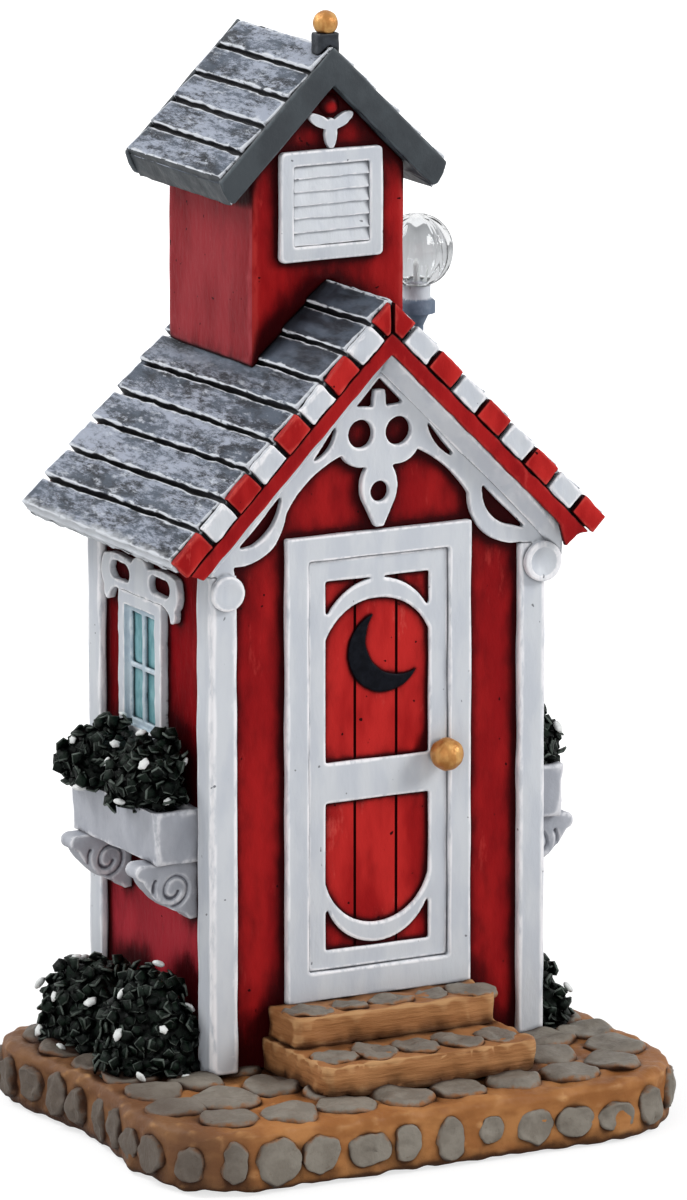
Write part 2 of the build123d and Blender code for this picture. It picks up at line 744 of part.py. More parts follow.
with BuildPart() as window_crest:
    with BuildSketch(left_face):
        with BuildLine():
            half_crest = [
                Line((0, window_top), curl(0, 0)),
                ThreePointArc(curl(0, 0), curl(0.34, -0.3), curl(0.58, -1.6)),
                ThreePointArc(curl(0.58, -1.6), curl(0.78, -1.4), curl(0.8, -0.2)),
                ThreePointArc(curl(0.8, -0.2), curl(1, 1.8), curl(0.83, 3.5)),
                ThreePointArc(curl(0.83, 3.5), curl(-0.05, 3.9), (2.0, window_top + crest_height - 1.0)),
                ThreePointArc((2.0, window_top + crest_height - 1.0), (1.2, window_top + crest_height - 0.2),
                              (0, window_top + crest_height)),
            ]
            mirror(half_crest, about=Plane.YZ)
        make_face()
        with Locations((crest_slot_out, window_top + crest_slot), (-crest_slot_out, window_top + crest_slot)):
            SlotOverall(crest_slot_length, crest_slot, mode=Mode.SUBTRACT)
    extrude(amount=wall_inset)

# ---------------------------------------------------------------- flower boxes and consoles
with BuildPart() as flower_box:
    with BuildSketch(Plane(origin=(house_x - wall_half, front_y + box_y, base_height), x_dir=(1, 0, 0),
                           z_dir=(0, -1, 0)).offset(-box_length / 2)):
        Polygon((0, box_bottom), (0, box_bottom + box_height), (-box_depth, box_bottom + box_height),
                (box_flare - box_depth, box_bottom), align=None)
    extrude(amount=box_length)
    with BuildSketch(Plane.XY.offset(base_height + box_bottom + box_height)):
        with Locations((house_x - wall_half - box_depth / 2, front_y + box_y)):
            Rectangle(box_depth - 2 * box_wall, box_length - 2 * box_wall)
    extrude(amount=-soil_drop, mode=Mode.SUBTRACT)
console_spacing = box_length - 2 * console_inset - console_width
with BuildPart() as consoles:
    for end in (-1, 1):
        console_face = Plane(
            origin=(house_x - wall_half, front_y + box_y + end * console_spacing / 2 - console_width / 2,
                    base_height + box_bottom), x_dir=(-1, 0, 0), z_dir=(0, 1, 0))
        with BuildSketch(console_face):
            with BuildLine():
                roll_x = console_reach - console_nose
                Line((0, 0), (roll_x, 0))
                ThreePointArc((roll_x, 0), (console_reach, -console_nose), (roll_x, -2 * console_nose))
                ThreePointArc((roll_x, -2 * console_nose), *console_belly)
                Polyline(console_belly[1], *console_foot, (0, 0))
            make_face()
        extrude(amount=console_width)
        for face in (console_face, console_face.offset(console_width - groove_depth)):
            with BuildSketch(face):
                with BuildLine():
                    ThreePointArc((5.1, -1.7), (3.1, -5.0), (1.2, -3.0))
                    ThreePointArc((1.2, -3.0), (2.9, -1.6), (4.1, -3.0))
                    ThreePointArc((4.1, -3.0), (3.1, -4.0), (2.4, -3.1))
                trace(line_width=scroll_line)
            extrude(amount=groove_depth, mode=Mode.SUBTRACT)


soil_z = base_height + box_bottom + box_height - soil_drop
with BuildPart() as box_plants:
    for end in (-1, 1):
        clump_y = front_y + box_y + end * box_length / 4
        with Locations((house_x - half_width - plant_out, clump_y, soil_z + plant_lift)):
            Sphere(plant_radius)
    split(bisect_by=Plane.XY.offset(base_height + box_bottom + box_height), keep=Keep.TOP)
    split(bisect_by=Plane(origin=(house_x - half_width - plant_gap, 0, 0), z_dir=(-1, 0, 0)), keep=Keep.TOP)

for piece, name in ((window_frame, "window_frame"), (flower_box, "flower_box"), (consoles, "box_consoles")):
    save(piece, f"left_{name}")
    with BuildPart() as twin:
        mirror(piece.part, about=middle)
    save(twin, f"right_{name}")

for piece, name in (
    (window_panes, "window_panes"), (window_crest, "window_crests"), (box_plants, "box_plants"),
):
    with BuildPart() as pair:
        add(piece.part)
        mirror(about=middle)
    save(pair, name)

# ---------------------------------------------------------------- ground bushes
with BuildPart() as bushes:
    for side, reach in ((-1, left_bush_reach), (1, right_bush_reach)):
        edge_x = house_x + side * (half_width + plant_gap)
        with BuildPart(mode=Mode.PRIVATE) as bush:
            for mound_y, length, drop in (front_mound, rear_mound):
                half_size = (reach * (1 - mound_middle), length / 2, bush_height - drop)
                mound = scale(Sphere(1, mode=Mode.PRIVATE), by=half_size, mode=Mode.PRIVATE)
                mound_x = edge_x + side * reach * mound_middle
                add(Pos(mound_x, front_y + side_middle + mound_y, base_height) * mound)
            split(bisect_by=Plane.XY.offset(base_height), keep=Keep.TOP)
            split(bisect_by=Plane(origin=(edge_x, 0, 0), z_dir=(side, 0, 0)), keep=Keep.TOP)
        add(bush.part)
save(bushes, "ground_bushes")

# ---------------------------------------------------------------- lamp
lamp_x = house_x + half_width + lamp_out
lamp_y = front_y + house_depth + lamp_behind
lamp_axis = Axis((lamp_x, lamp_y, 0), (0, 0, 1))
lamp_plane = Plane(origin=(lamp_x, lamp_y, base_height), x_dir=(1, 0, 0), z_dir=(0, -1, 0))
with BuildPart() as lamp_post:
    with BuildSketch(lamp_plane):
        with BuildLine():
            rim_top, cone_start, post_start = foot_profile
            Polyline((0, 0), (foot_radius, 0), (foot_radius, rim_top), (cone_radius, cone_start),
                     (lamp_post_radius, post_start), (lamp_post_radius, lamp_height),
                     (cone_radius, lamp_height + cone_height), (0, lamp_height + cone_height), close=True)
        make_face()
    revolve(axis=lamp_axis)
save(lamp_post, "lamp_post")

socket_bottom = lamp_height + cone_height
socket_top = socket_bottom + socket_height
with BuildPart() as lamp_socket:
    with BuildSketch(lamp_plane):
        with BuildLine():
            cap_top = socket_bottom + cap_height
            Polyline((0, socket_bottom), (cap_radius, socket_bottom), (cap_radius, cap_top),
                     (socket_radius, cap_top + cap_chamfer), (socket_radius, socket_top), (0, socket_top),
                     close=True)
        make_face()
    revolve(axis=lamp_axis)
save(lamp_socket, "lamp_socket")

globe_plane = Plane.XY.offset(base_height + socket_top)
lamp_spot = lamp_plane.origin
with BuildPart() as globe:
    with Locations(lamp_spot + Vector(0, 0, socket_top + (globe_radius**2 - globe_neck**2) ** 0.5)):
        Sphere(globe_radius)
        Sphere(globe_radius - globe_wall, mode=Mode.SUBTRACT)
    with Locations(lamp_spot + Vector(0, 0, socket_top + 0.5)):
        Cylinder(globe_neck - globe_wall, 2.0, mode=Mode.SUBTRACT)
    split(bisect_by=globe_plane, keep=Keep.TOP)
save(globe, "lamp_globe")

with BuildPart() as led:
    with Locations(lamp_spot + Vector(0, 0, socket_top + led_height / 2)):
        Cylinder(led_radius, led_height)
    with Locations(lamp_spot + Vector(0, 0, socket_top + led_height)):
        Sphere(led_radius)
save(led, "lamp_led")
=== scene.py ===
import math

import bmesh
import bpy
import numpy
from mathutils import Matrix, Vector


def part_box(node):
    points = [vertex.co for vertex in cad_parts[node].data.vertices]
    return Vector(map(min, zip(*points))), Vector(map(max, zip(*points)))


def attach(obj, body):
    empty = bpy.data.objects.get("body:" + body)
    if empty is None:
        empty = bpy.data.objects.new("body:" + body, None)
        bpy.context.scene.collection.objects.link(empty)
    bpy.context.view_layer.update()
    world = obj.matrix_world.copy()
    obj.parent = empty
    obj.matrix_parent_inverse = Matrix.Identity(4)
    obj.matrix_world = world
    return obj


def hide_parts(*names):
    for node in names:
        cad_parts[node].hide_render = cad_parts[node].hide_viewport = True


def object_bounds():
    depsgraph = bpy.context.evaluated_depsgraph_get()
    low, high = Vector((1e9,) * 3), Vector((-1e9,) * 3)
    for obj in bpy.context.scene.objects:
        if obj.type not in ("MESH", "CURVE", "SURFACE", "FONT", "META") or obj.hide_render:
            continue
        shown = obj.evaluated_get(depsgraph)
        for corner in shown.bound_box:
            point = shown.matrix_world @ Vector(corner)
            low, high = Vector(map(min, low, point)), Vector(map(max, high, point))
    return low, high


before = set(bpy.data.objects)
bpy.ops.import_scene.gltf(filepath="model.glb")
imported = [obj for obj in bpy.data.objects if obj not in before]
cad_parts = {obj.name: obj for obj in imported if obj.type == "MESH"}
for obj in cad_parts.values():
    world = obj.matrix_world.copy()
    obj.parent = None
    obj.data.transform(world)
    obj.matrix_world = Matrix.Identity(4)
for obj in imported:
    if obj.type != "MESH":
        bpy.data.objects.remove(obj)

cad_low, cad_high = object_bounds()
MM = 0.001


# ---------------- camera, lamps and table
# The figurine stands on a pale table in a white tent. A soft lamp hangs to the right in front of it, a
# broader and weaker one fills the left, and the tent lights the rest.
def placed(name, data):
    """Puts a mesh, a lamp or a camera in the scene."""
    thing = bpy.data.objects.new(name, data)
    bpy.context.scene.collection.objects.link(thing)
    return thing


view_from = math.radians(-28.13)
view_height = math.radians(12.38)
aim = Vector((5.67, 5.41, 56.05)) * MM
camera_distance = 1053.51
away = Vector((
    math.sin(view_from) * math.cos(view_height),
    -math.cos(view_from) * math.cos(view_height),
    math.sin(view_height),
))
camera = placed("camera", bpy.data.cameras.new("camera"))
camera.data.lens = 282.46
camera.data.sensor_width = 36
camera.location = aim + away * camera_distance * MM
camera.rotation_euler = (-away).to_track_quat("-Z", "Y").to_euler()
camera.data.clip_start = 0.01
camera.data.clip_end = 20
bpy.context.scene.camera = camera
bpy.context.scene.view_settings.view_transform = "Standard"

lamps_aim = Vector((0, 0, 0.05))
for lamp_name, place, size, power in (
    ("key_lamp", (0.62, -0.48, 0.50), 0.32, 4.4),
    ("fill_lamp", (-0.60, -0.50, 0.35), 0.70, 2.0),
    ("back_lamp", (-0.42, 0.40, 0.62), 0.34, 3.2),
):
    lamp = placed(lamp_name, bpy.data.lights.new(lamp_name, "AREA"))
    lamp.data.size = size
    lamp.data.energy = power
    lamp.location = Vector(place)
    lamp.rotation_euler = (lamps_aim - lamp.location).to_track_quat("-Z", "Y").to_euler()


def node(tree, kind, inputs=None, **settings):
    """Adds a node, sets its options, and gives its inputs values or other nodes' outputs."""
    made = tree.nodes.new(kind)
    for option, value in settings.items():
        setattr(made, option, value)
    for place, value in (inputs or {}).items():
        if isinstance(value, bpy.types.NodeSocket):
            tree.links.new(value, made.inputs[place])
        else:
            made.inputs[place].default_value = value
    return made


def maths(tree, operation, *values, **settings):
    """One step of arithmetic on numbers."""
    return node(tree, "ShaderNodeMath", dict(enumerate(values)), operation=operation, **settings).outputs[0]


def vectors(tree, operation, *values, wanted=0):
    """One step of arithmetic on vectors; wanted is 1 where the answer is a number."""
    return node(tree, "ShaderNodeVectorMath", dict(enumerate(values)), operation=operation).outputs[wanted]


def spread(tree, value, low, high, first, last, **settings):
    """Turns low to high into first to last, and holds still beyond them."""
    ends = {"From Min": low, "From Max": high, "To Min": first, "To Max": last}
    return node(tree, "ShaderNodeMapRange", {"Value": value, **ends}, **settings).outputs["Result"]


def on_piece(tree):
    """The place of each point on the piece itself."""
    return node(tree, "ShaderNodeTexCoord").outputs["Object"]


def blank(name):
    """A new material, and its empty tree."""
    made = bpy.data.materials.new(name)
    made.use_nodes = True
    made.node_tree.nodes.clear()
    return made, made.node_tree


tent = bpy.data.worlds.new("tent")
bpy.context.scene.world = tent
tent.use_nodes = True
sky = tent.node_tree
sky.nodes.clear()
seen = node(sky, "ShaderNodeLightPath").outputs
either = maths(sky, "MAXIMUM", seen["Is Camera Ray"], seen["Is Glossy Ray"])
either = maths(sky, "MAXIMUM", either, seen["Is Transmission Ray"])
dim = node(sky, "ShaderNodeBackground", {"Color": (0.95, 0.97, 1, 1), "Strength": 0.35})
white = node(sky, "ShaderNodeBackground", {"Color": (1, 1, 1, 1), "Strength": 1})
mixed = node(sky, "ShaderNodeMixShader", {0: either, 1: dim.outputs[0], 2: white.outputs[0]})
node(sky, "ShaderNodeOutputWorld", {"Surface": mixed.outputs[0]})

table_mesh = bpy.data.meshes.new("table")
table_mesh.from_pydata([(-3, -3, 0), (3, -3, 0), (3, 3, 0), (-3, 3, 0)], [], [(0, 1, 2, 3)])
table = placed("table", table_mesh)
table_paper, tree = blank("table_paper")
seen = node(tree, "ShaderNodeLightPath").outputs
paper = node(tree, "ShaderNodeBsdfDiffuse", {"Color": (0.45, 0.45, 0.45, 1)})
far = vectors(tree, "LENGTH", on_piece(tree), wanted=1)
strength = spread(tree, far, 0.06, 0.22, 0.72, 1.1)
glow = node(tree, "ShaderNodeEmission", {"Color": (1, 1, 1, 1), "Strength": strength})
lit = node(tree, "ShaderNodeAddShader", {0: paper.outputs[0], 1: glow.outputs[0]})
plain = node(tree, "ShaderNodeBsdfDiffuse", {"Color": (0.75, 0.75, 0.75, 1)})
shown = node(tree, "ShaderNodeMixShader", {0: seen["Is Camera Ray"], 1: plain.outputs[0], 2: lit.outputs[0]})
node(tree, "ShaderNodeOutputMaterial", {"Surface": shown.outputs[0]})
table.data.materials.append(table_paper)


# ---------------- cobbled base
# The base is one solid casting: an earthy body with a rounded rim, painted ochre as mortar, in which grey
# cobbles stand on edge round the side and flat stones lie on top. Dark wash and painted shade lie in the
# joints, and the left side is painted darker as painted shade.
def shade(tree, factor, low, high):
    """Blends two colours, or two sockets, by a factor."""
    return node(tree, "ShaderNodeMix", {0: factor, 6: low, 7: high}, data_type="RGBA").outputs[2]


def between(tree, value, low, high):
    """0 below low and 1 above high, with a soft step."""
    return spread(tree, value, low, high, 0.0, 1.0, interpolation_type="SMOOTHSTEP")


def times(tree, first, second):
    """Two values multiplied."""
    return maths(tree, "MULTIPLY", first, second)


def openness(tree, reach):
    """1 in the open, and less in a corner, as far as the given reach."""
    return node(tree, "ShaderNodeAmbientOcclusion", {"Distance": reach}, samples=12).outputs["AO"]


def blotches(tree, size, stretch=(1, 1, 1), detail=3.0, roughness=0.55, shift=0.0):
    """Cloudy noise on the piece itself, in patches of about the given size in millimetres."""
    scaled = node(tree, "ShaderNodeMapping",
                  {"Vector": on_piece(tree), "Location": (shift, shift, shift), "Scale": stretch})
    cloud = {"Vector": scaled.outputs[0], "Scale": 1000 / size, "Detail": detail, "Roughness": roughness}
    return node(tree, "ShaderNodeTexNoise", cloud).outputs["Fac"]


def paint(name, body, second, patch=4.0, stretch=(1, 1, 1), wash_shade=(0, 0, 0), wash_shade_reach=1.5, wash_shade_from=0.4,
          wash_shade_to=0.85, wash_shade_most=0.9, rubbed=None, rub_from=0.02, rub_to=0.1, speck=None, speck_size=0.8,
          speck_from=0.6, roughness=0.5, gleam=0.25, bump=0.12, bump_size=0.5, bump_stretch=(1, 1, 1),
          metal=0.0, hollow=None, rim=None, rim_from=0.88, pits=None, painted_light_drift=None):
    """A brushed finish: two tones in patches, dark wash mixed with painted shade in the corners and hollows,
    lighter paint rubbed on the arrises. A drift paints light or shade along one axis: it is an axis, where it
    is strongest and where it ends in millimetres, a colour and a strength."""
    made, tree = blank(name)
    colour = shade(tree, between(tree, blotches(tree, patch, stretch), 0.38, 0.62), (*body, 1), (*second, 1))
    if speck:
        cloud = blotches(tree, speck_size, stretch, 5, 0.7, 0.01)
        colour = shade(tree, between(tree, cloud, speck_from, speck_from + 0.12), colour, (*speck, 1))
    if rim:
        edge = node(tree, "ShaderNodeAttribute", attribute_name="rim").outputs["Fac"]
        frayed = maths(tree, "MULTIPLY_ADD", blotches(tree, 1.1, (1, 1, 1), 3, 0.6, 0.05), 0.35, edge)
        colour = shade(tree, between(tree, frayed, rim_from, rim_from + 0.16), colour, (*rim, 1))
    # Painted light or shade: the colour is blended towards the tint along one axis, as light falls on the
    # piece.
    if painted_light_drift:
        axis, full, end, tint, most = painted_light_drift
        place = node(tree, "ShaderNodeSeparateXYZ", {0: on_piece(tree)}).outputs[axis]
        painted_light_share = spread(tree, place, full * MM, end * MM, most, 0.0, interpolation_type="SMOOTHSTEP")
        colour = shade(tree, painted_light_share, colour, (*tint, 1))
    relief = node(tree, "ShaderNodeAttribute", attribute_name="relief").outputs["Fac"]
    if rubbed:
        worn = times(tree, between(tree, relief, rub_from, rub_to),
                     between(tree, blotches(tree, 0.9, stretch, 4, 0.6, 0.02), 0.3, 0.6))
        colour = shade(tree, worn, colour, (*rubbed, 1))
    # Hollows darkened in the wash colour, partly real wash and partly painted shade.
    if hollow:
        sunk = between(tree, relief, -hollow, -0.25 * hollow)
        colour = shade(tree, sunk, (*wash_shade, 1), colour)
    if pits:
        holes = between(tree, blotches(tree, 0.9, (1, 1, 1), 1, 0.5, 0.06), pits, pits + 0.03)
        colour = shade(tree, holes, colour, (*wash_shade, 1))
    # Dark wash and painted shade: darker in corners and beside raised parts, as far as the reach, where shade
    # falls.
    corner = openness(tree, wash_shade_reach * MM)
    uneven = maths(tree, "MULTIPLY_ADD", blotches(tree, 1.8, (1, 1, 0.5), 2, 0.5, 0.03), 0.3, -0.15)
    open_air = maths(tree, "ADD", corner, uneven)
    wash_shade_mask = spread(tree, open_air, wash_shade_from, wash_shade_to, wash_shade_most, 0.0, interpolation_type="SMOOTHSTEP")
    colour = shade(tree, wash_shade_mask, colour, (*wash_shade, 1))
    height = blotches(tree, bump_size, bump_stretch, 4, 0.6, 0.04)
    raised = node(tree, "ShaderNodeBump", {"Height": height, "Strength": bump, "Distance": 0.3 * MM})
    gloss = spread(tree, height, 0.3, 0.7, roughness - 0.08, roughness + 0.1)
    skin = node(tree, "ShaderNodeBsdfPrincipled",
                {"Base Color": colour, "Roughness": gloss, "Metallic": metal, "Specular IOR Level": gleam,
                 "Normal": raised.outputs[0]})
    node(tree, "ShaderNodeOutputMaterial", {"Surface": skin.outputs[0]})
    return made


def merged(name, *nodes):
    """A copy of CAD nodes as one mesh, with its loose triangles joined."""
    gathered = bmesh.new()
    for source in nodes:
        gathered.from_mesh(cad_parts[source].data)
    bmesh.ops.remove_doubles(gathered, verts=gathered.verts, dist=1e-7)
    mesh = bpy.data.meshes.new(name)
    gathered.to_mesh(mesh)
    gathered.free()
    return placed(name, mesh)


def settled(piece):
    """Turns what the modifiers make into the piece's own mesh."""
    seen_by = bpy.context.evaluated_depsgraph_get()
    mesh = bpy.data.meshes.new_from_object(piece.evaluated_get(seen_by))
    piece.modifiers.clear()
    piece.data = mesh
    mesh.name = piece.name
    return piece


def points_of(mesh, kind="co"):
    """The places of a mesh's points, or their normals, as rows of numbers."""
    flat = numpy.empty(len(mesh.vertices) * 3)
    mesh.vertices.foreach_get(kind, flat)
    return flat.reshape(-1, 3)


def within_cad(points):
    """Holds points inside the box of the whole CAD model."""
    return numpy.clip(points, numpy.array(cad_low), numpy.array(cad_high))


def smooth_faces(mesh):
    """Shades a mesh as one smooth skin."""
    mesh.polygons.foreach_set("use_smooth", [True] * len(mesh.polygons))


def wander(points, size, seed):
    """A smooth value of about -1 to 1 at each point, with swells of about the given size in millimetres."""
    chance = numpy.random.default_rng(seed)
    total = numpy.zeros(len(points))
    for _ in range(16):
        heading = chance.normal(size=3)
        heading *= 2 * math.pi / (numpy.linalg.norm(heading) * size * MM * chance.uniform(0.7, 1.8))
        total += numpy.sin(points @ heading + chance.uniform(0, 2 * math.pi))
    return total / 4


all_thinned = 0.7


def softened(piece, voxel, rounds, ripple, ripple_size, keep, seed, shape=None):
    """Makes a piece look cast from a hand-carved master: small cells, rounded arrises and wavering faces.
    Keeps in the attribute relief how far each point stands out of its neighbours, in millimetres. Of its
    faces it keeps the share keep, less a further thinning that all cast pieces share."""
    cells = piece.modifiers.new("cells", "REMESH")
    cells.mode = "VOXEL"
    cells.voxel_size = voxel * MM
    smooth = piece.modifiers.new("smooth", "SMOOTH")
    smooth.factor = 0.5
    smooth.iterations = rounds
    settled(piece)
    mesh = piece.data
    points, out = points_of(mesh), points_of(mesh, "normal")
    points += out * (wander(points, ripple_size, seed) * ripple * MM)[:, None]
    if shape:
        points = shape(points, out)
    points = within_cad(points)
    edges = numpy.empty(len(mesh.edges) * 2, dtype=int)
    mesh.edges.foreach_get("vertices", edges)
    edges = edges.reshape(-1, 2)
    ends = numpy.concatenate([edges[:, 0], edges[:, 1]])
    others = numpy.concatenate([edges[:, 1], edges[:, 0]])
    valence = numpy.bincount(ends, minlength=len(points))[:, None]
    even = points
    for _ in range(6):
        summed = [numpy.bincount(ends, even[others, axis], len(points)) for axis in range(3)]
        even = numpy.stack(summed, 1) / valence
    relief = mesh.attributes.new("relief", "FLOAT", "POINT")
    relief.data.foreach_set("value", ((points - even) * out).sum(1) / MM)
    mesh.vertices.foreach_set("co", points.ravel())
    mesh.update()
    thin = piece.modifiers.new("thin", "DECIMATE")
    thin.ratio = all_thinned * keep
    settled(piece)
    smooth_faces(piece.data)
    return piece


def finished(piece, finish, slot, *replaced):
    """Gives a piece its finish and fixes it to the body in place of its CAD nodes."""
    piece.data.materials.clear()
    piece.data.materials.append(finish)
    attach(piece, "root")
    if replaced:
        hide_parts(*replaced)
    return piece


def cast(name, voxel, rounds, ripple, ripple_size, keep, seed, finish, slot, shape=None):
    """Casts one CAD node softly and gives it its finish."""
    piece = softened(merged(name + "_cast", name), voxel, rounds, ripple, ripple_size, keep, seed, shape)
    return finished(piece, finish, slot, name)


# Painted shade: the base and its stones are painted darker towards the left side, which stands in shade.
left_shade = (0, -31, -21, (0.07, 0.045, 0.035), 0.6)
earth_paint = paint("earth_paint", (0.45, 0.200, 0.068), (0.31, 0.122, 0.038), 4.0, (0.6, 0.6, 1.2),
                    wash_shade=(0.03, 0.010, 0.005), wash_shade_reach=3.0, wash_shade_from=0.55, wash_shade_to=0.93,
                    rubbed=(0.58, 0.31, 0.13), rub_from=0.05, rub_to=0.17, speck=(0.15, 0.055, 0.02),
                    speck_size=2.4, speck_from=0.66, roughness=0.45, gleam=0.1, bump=0.35, bump_size=0.8,
                    painted_light_drift=left_shade)
stone_paint = paint("stone_paint", (0.205, 0.180, 0.148), (0.255, 0.228, 0.190), 2.2,
                    wash_shade=(0.03, 0.012, 0.007), wash_shade_reach=2.0, wash_shade_from=0.5, wash_shade_to=0.9, roughness=0.5,
                    gleam=0.12, bump=0.4, bump_size=0.5, rim=(0.30, 0.125, 0.043), rim_from=1.06,
                    speck=(0.150, 0.115, 0.085), speck_size=0.9, speck_from=0.6, painted_light_drift=left_shade)


def sunk_bed(points, out):
    """Sinks the mortar between the stones under the rim's line, and keeps it within the base."""
    low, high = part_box("base_slab")
    points = points - out * (0.42 + 0.10 * wander(points, 2.2, 5))[:, None] * MM
    return numpy.clip(points, numpy.array(low), numpy.array(high))


base = softened(merged("cobbled_base", "base_slab"), 0.32, 4, 0.12, 6.0, 0.45, 3, sunk_bed)
finished(base, earth_paint, "cobbled_base", "base_slab")


def new_tree(name, *wanted):
    """A Geometry Nodes tree with named inputs, given as label, socket kind and first value."""
    tree = bpy.data.node_groups.new(name, "GeometryNodeTree")
    for label, kind, value in wanted:
        socket = tree.interface.new_socket(label, in_out="INPUT", socket_type="NodeSocket" + kind)
        if value is not None:
            socket.default_value = value
    tree.interface.new_socket("Geometry", in_out="OUTPUT", socket_type="NodeSocketGeometry")
    return tree, node(tree, "NodeGroupInput").outputs


def realized(tree, geometry):
    """Makes copies into a mesh of their own."""
    return node(tree, "GeometryNodeRealizeInstances", {0: geometry}).outputs[0]


def end_tree(tree, geometry, finish):
    """Realizes a tree's instances, gives them their finish and sends them out."""
    whole = realized(tree, geometry)
    done = node(tree, "GeometryNodeSetMaterial", {"Geometry": whole, "Material": finish})
    node(tree, "NodeGroupOutput", {"Geometry": done.outputs[0]})


def grown(name, tree, start=None, **values):
    """Runs a tree on a starting mesh with the given inputs, and returns the plain mesh as a piece."""
    piece = placed(name, start or bpy.data.meshes.new(name))
    grower = piece.modifiers.new(name, "NODES")
    grower.node_group = tree
    for item in tree.interface.items_tree:
        label = item.name.replace(" ", "_")
        if item.in_out == "INPUT" and label in values:
            grower[item.identifier] = values[label]
    settled(piece)
    smooth_faces(piece.data)
    return piece


def point(tree, x=0.0, y=0.0, z=0.0):
    """A vector made of three numbers."""
    return node(tree, "ShaderNodeCombineXYZ", {0: x, 1: y, 2: z}).outputs[0]


def stretched(tree, vector, size):
    """A vector made longer or shorter."""
    return node(tree, "ShaderNodeVectorMath", {0: vector, "Scale": size}, operation="SCALE").outputs[0]


def by_chance(tree, low, high, seed):
    """A random number for each stone or leaf, or a random vector where low and high are vectors."""
    kind, first, wanted = ("FLOAT_VECTOR", 0, 0) if isinstance(low, tuple) else ("FLOAT", 2, 1)
    ends = {first: low, first + 1: high, "Seed": seed}
    return node(tree, "FunctionNodeRandomValue", ends, data_type=kind).outputs[wanted]


def copied(tree, points, form, turn, size):
    """Sets a copy of a form on each point."""
    given_to = {"Points": points, "Instance": form, "Rotation": turn, "Scale": size}
    return node(tree, "GeometryNodeInstanceOnPoints", given_to).outputs[0]


def worn_stone(tree):
    """A pebble one unit across its half-length, flat on two sides, with its rim kept in an attribute."""
    ball = node(tree, "GeometryNodeMeshIcoSphere", {"Radius": 1.0, "Subdivisions": 4}).outputs["Mesh"]
    place = node(tree, "GeometryNodeInputPosition").outputs[0]
    parts = node(tree, "ShaderNodeSeparateXYZ", {0: place})
    swollen = times(tree, parts.outputs[2], 1.6)
    flat = node(tree, "ShaderNodeClamp", {"Value": swollen, "Min": -0.8, "Max": 0.8}).outputs[0]
    span = vectors(tree, "LENGTH", point(tree, parts.outputs[0], parts.outputs[1]), wanted=1)
    marked = node(tree, "GeometryNodeStoreNamedAttribute", {"Geometry": ball, "Name": "rim", "Value": span},
                  data_type="FLOAT", domain="POINT").outputs[0]
    set_flat = point(tree, parts.outputs[0], parts.outputs[1], flat)
    return node(tree, "GeometryNodeSetPosition", {"Geometry": marked, "Position": set_flat}).outputs[0]


def chipped(tree, geometry, size, depth):
    """Moves a mesh's points about by smooth noise, so that no two stones are alike."""
    chance = node(tree, "ShaderNodeTexNoise", {"Scale": 1000 / size, "Detail": 1.0}).outputs["Color"]
    centred = vectors(tree, "SUBTRACT", chance, (0.5, 0.5, 0.5))
    moved = stretched(tree, centred, 2 * depth * MM)
    return node(tree, "GeometryNodeSetPosition", {"Geometry": geometry, "Offset": moved}).outputs[0]


outline = bmesh.new()
outline.from_mesh(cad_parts["base_slab"].data)
bmesh.ops.remove_doubles(outline, verts=outline.verts, dist=1e-7)
bmesh.ops.dissolve_limit(outline, angle_limit=0.02, verts=outline.verts, edges=outline.edges)
foot = [e for e in outline.edges if max(v.co.z for v in e.verts) < 1e-6]
spots = sorted({v.index for e in foot for v in e.verts})
rim_mesh = bpy.data.meshes.new("base_outline")
outline.verts.ensure_lookup_table()
rim_mesh.from_pydata([outline.verts[i].co[:] for i in spots],
                     [[spots.index(v.index) for v in e.verts] for e in foot], [])
outline.free()
foot_inset = cad_high.x - max(v.co.x for v in rim_mesh.vertices)

cobble_tree, given = new_tree("cobble_ring", ("Geometry", "Geometry", None), ("Spacing", "Float", 0.0052),
                              ("Half Width", "Float", 0.0021), ("Half Height", "Float", 0.0025),
                              ("Sunk", "Float", 0.0012), ("Middle Height", "Float", 0.0036),
                              ("Seed", "Int", 1), ("Finish", "Material", None))
ring = node(cobble_tree, "GeometryNodeMeshToCurve", {0: given["Geometry"]}).outputs[0]
evened = node(cobble_tree, "GeometryNodeResampleCurve", {"Curve": ring, "Length": given["Spacing"]},
              mode="LENGTH").outputs[0]
tangent = node(cobble_tree, "GeometryNodeInputTangent").outputs[0]
across = vectors(cobble_tree, "CROSS_PRODUCT", tangent, (0, 0, 1))
place = node(cobble_tree, "GeometryNodeInputPosition").outputs[0]
facing = vectors(cobble_tree, "DOT_PRODUCT", across, place, wanted=1)
facing = maths(cobble_tree, "SIGN", facing)
inward = times(cobble_tree, facing, given["Sunk"])
inward = times(cobble_tree, inward, -1.0)
inward = stretched(cobble_tree, across, inward)
sideways = by_chance(cobble_tree, -0.0005, 0.0005, 7)
jitter = stretched(cobble_tree, tangent, sideways)
upward = by_chance(cobble_tree, -0.0004, 0.0004, 8)
upward = maths(cobble_tree, "ADD", upward, given["Middle Height"])
lifted = point(cobble_tree, z=upward)
shift = vectors(cobble_tree, "ADD", jitter, lifted)
shift = vectors(cobble_tree, "ADD", shift, inward)
line = node(cobble_tree, "GeometryNodeSetPosition", {"Geometry": evened, "Offset": shift}).outputs[0]
square = node(cobble_tree, "FunctionNodeAlignRotationToVector", {"Vector": tangent}, axis="X",
              pivot_axis="Z")
stood = node(cobble_tree, "FunctionNodeRotateRotation",
             {"Rotation": square.outputs[0], "Rotate By": (math.pi / 2, 0, 0)},
             rotation_space="LOCAL").outputs[0]
chance = by_chance(cobble_tree, (0.68, 0.72, 0.95), (1.32, 1.15, 1.05), given["Seed"])
sizes = point(cobble_tree, given["Half Width"], given["Half Height"], 0.0015)
sizes = vectors(cobble_tree, "MULTIPLY", chance, sizes)
stones = copied(cobble_tree, line, worn_stone(cobble_tree), stood, sizes)
whole = realized(cobble_tree, stones)
end_tree(cobble_tree, chipped(cobble_tree, whole, 2.4, 0.8), given["Finish"])

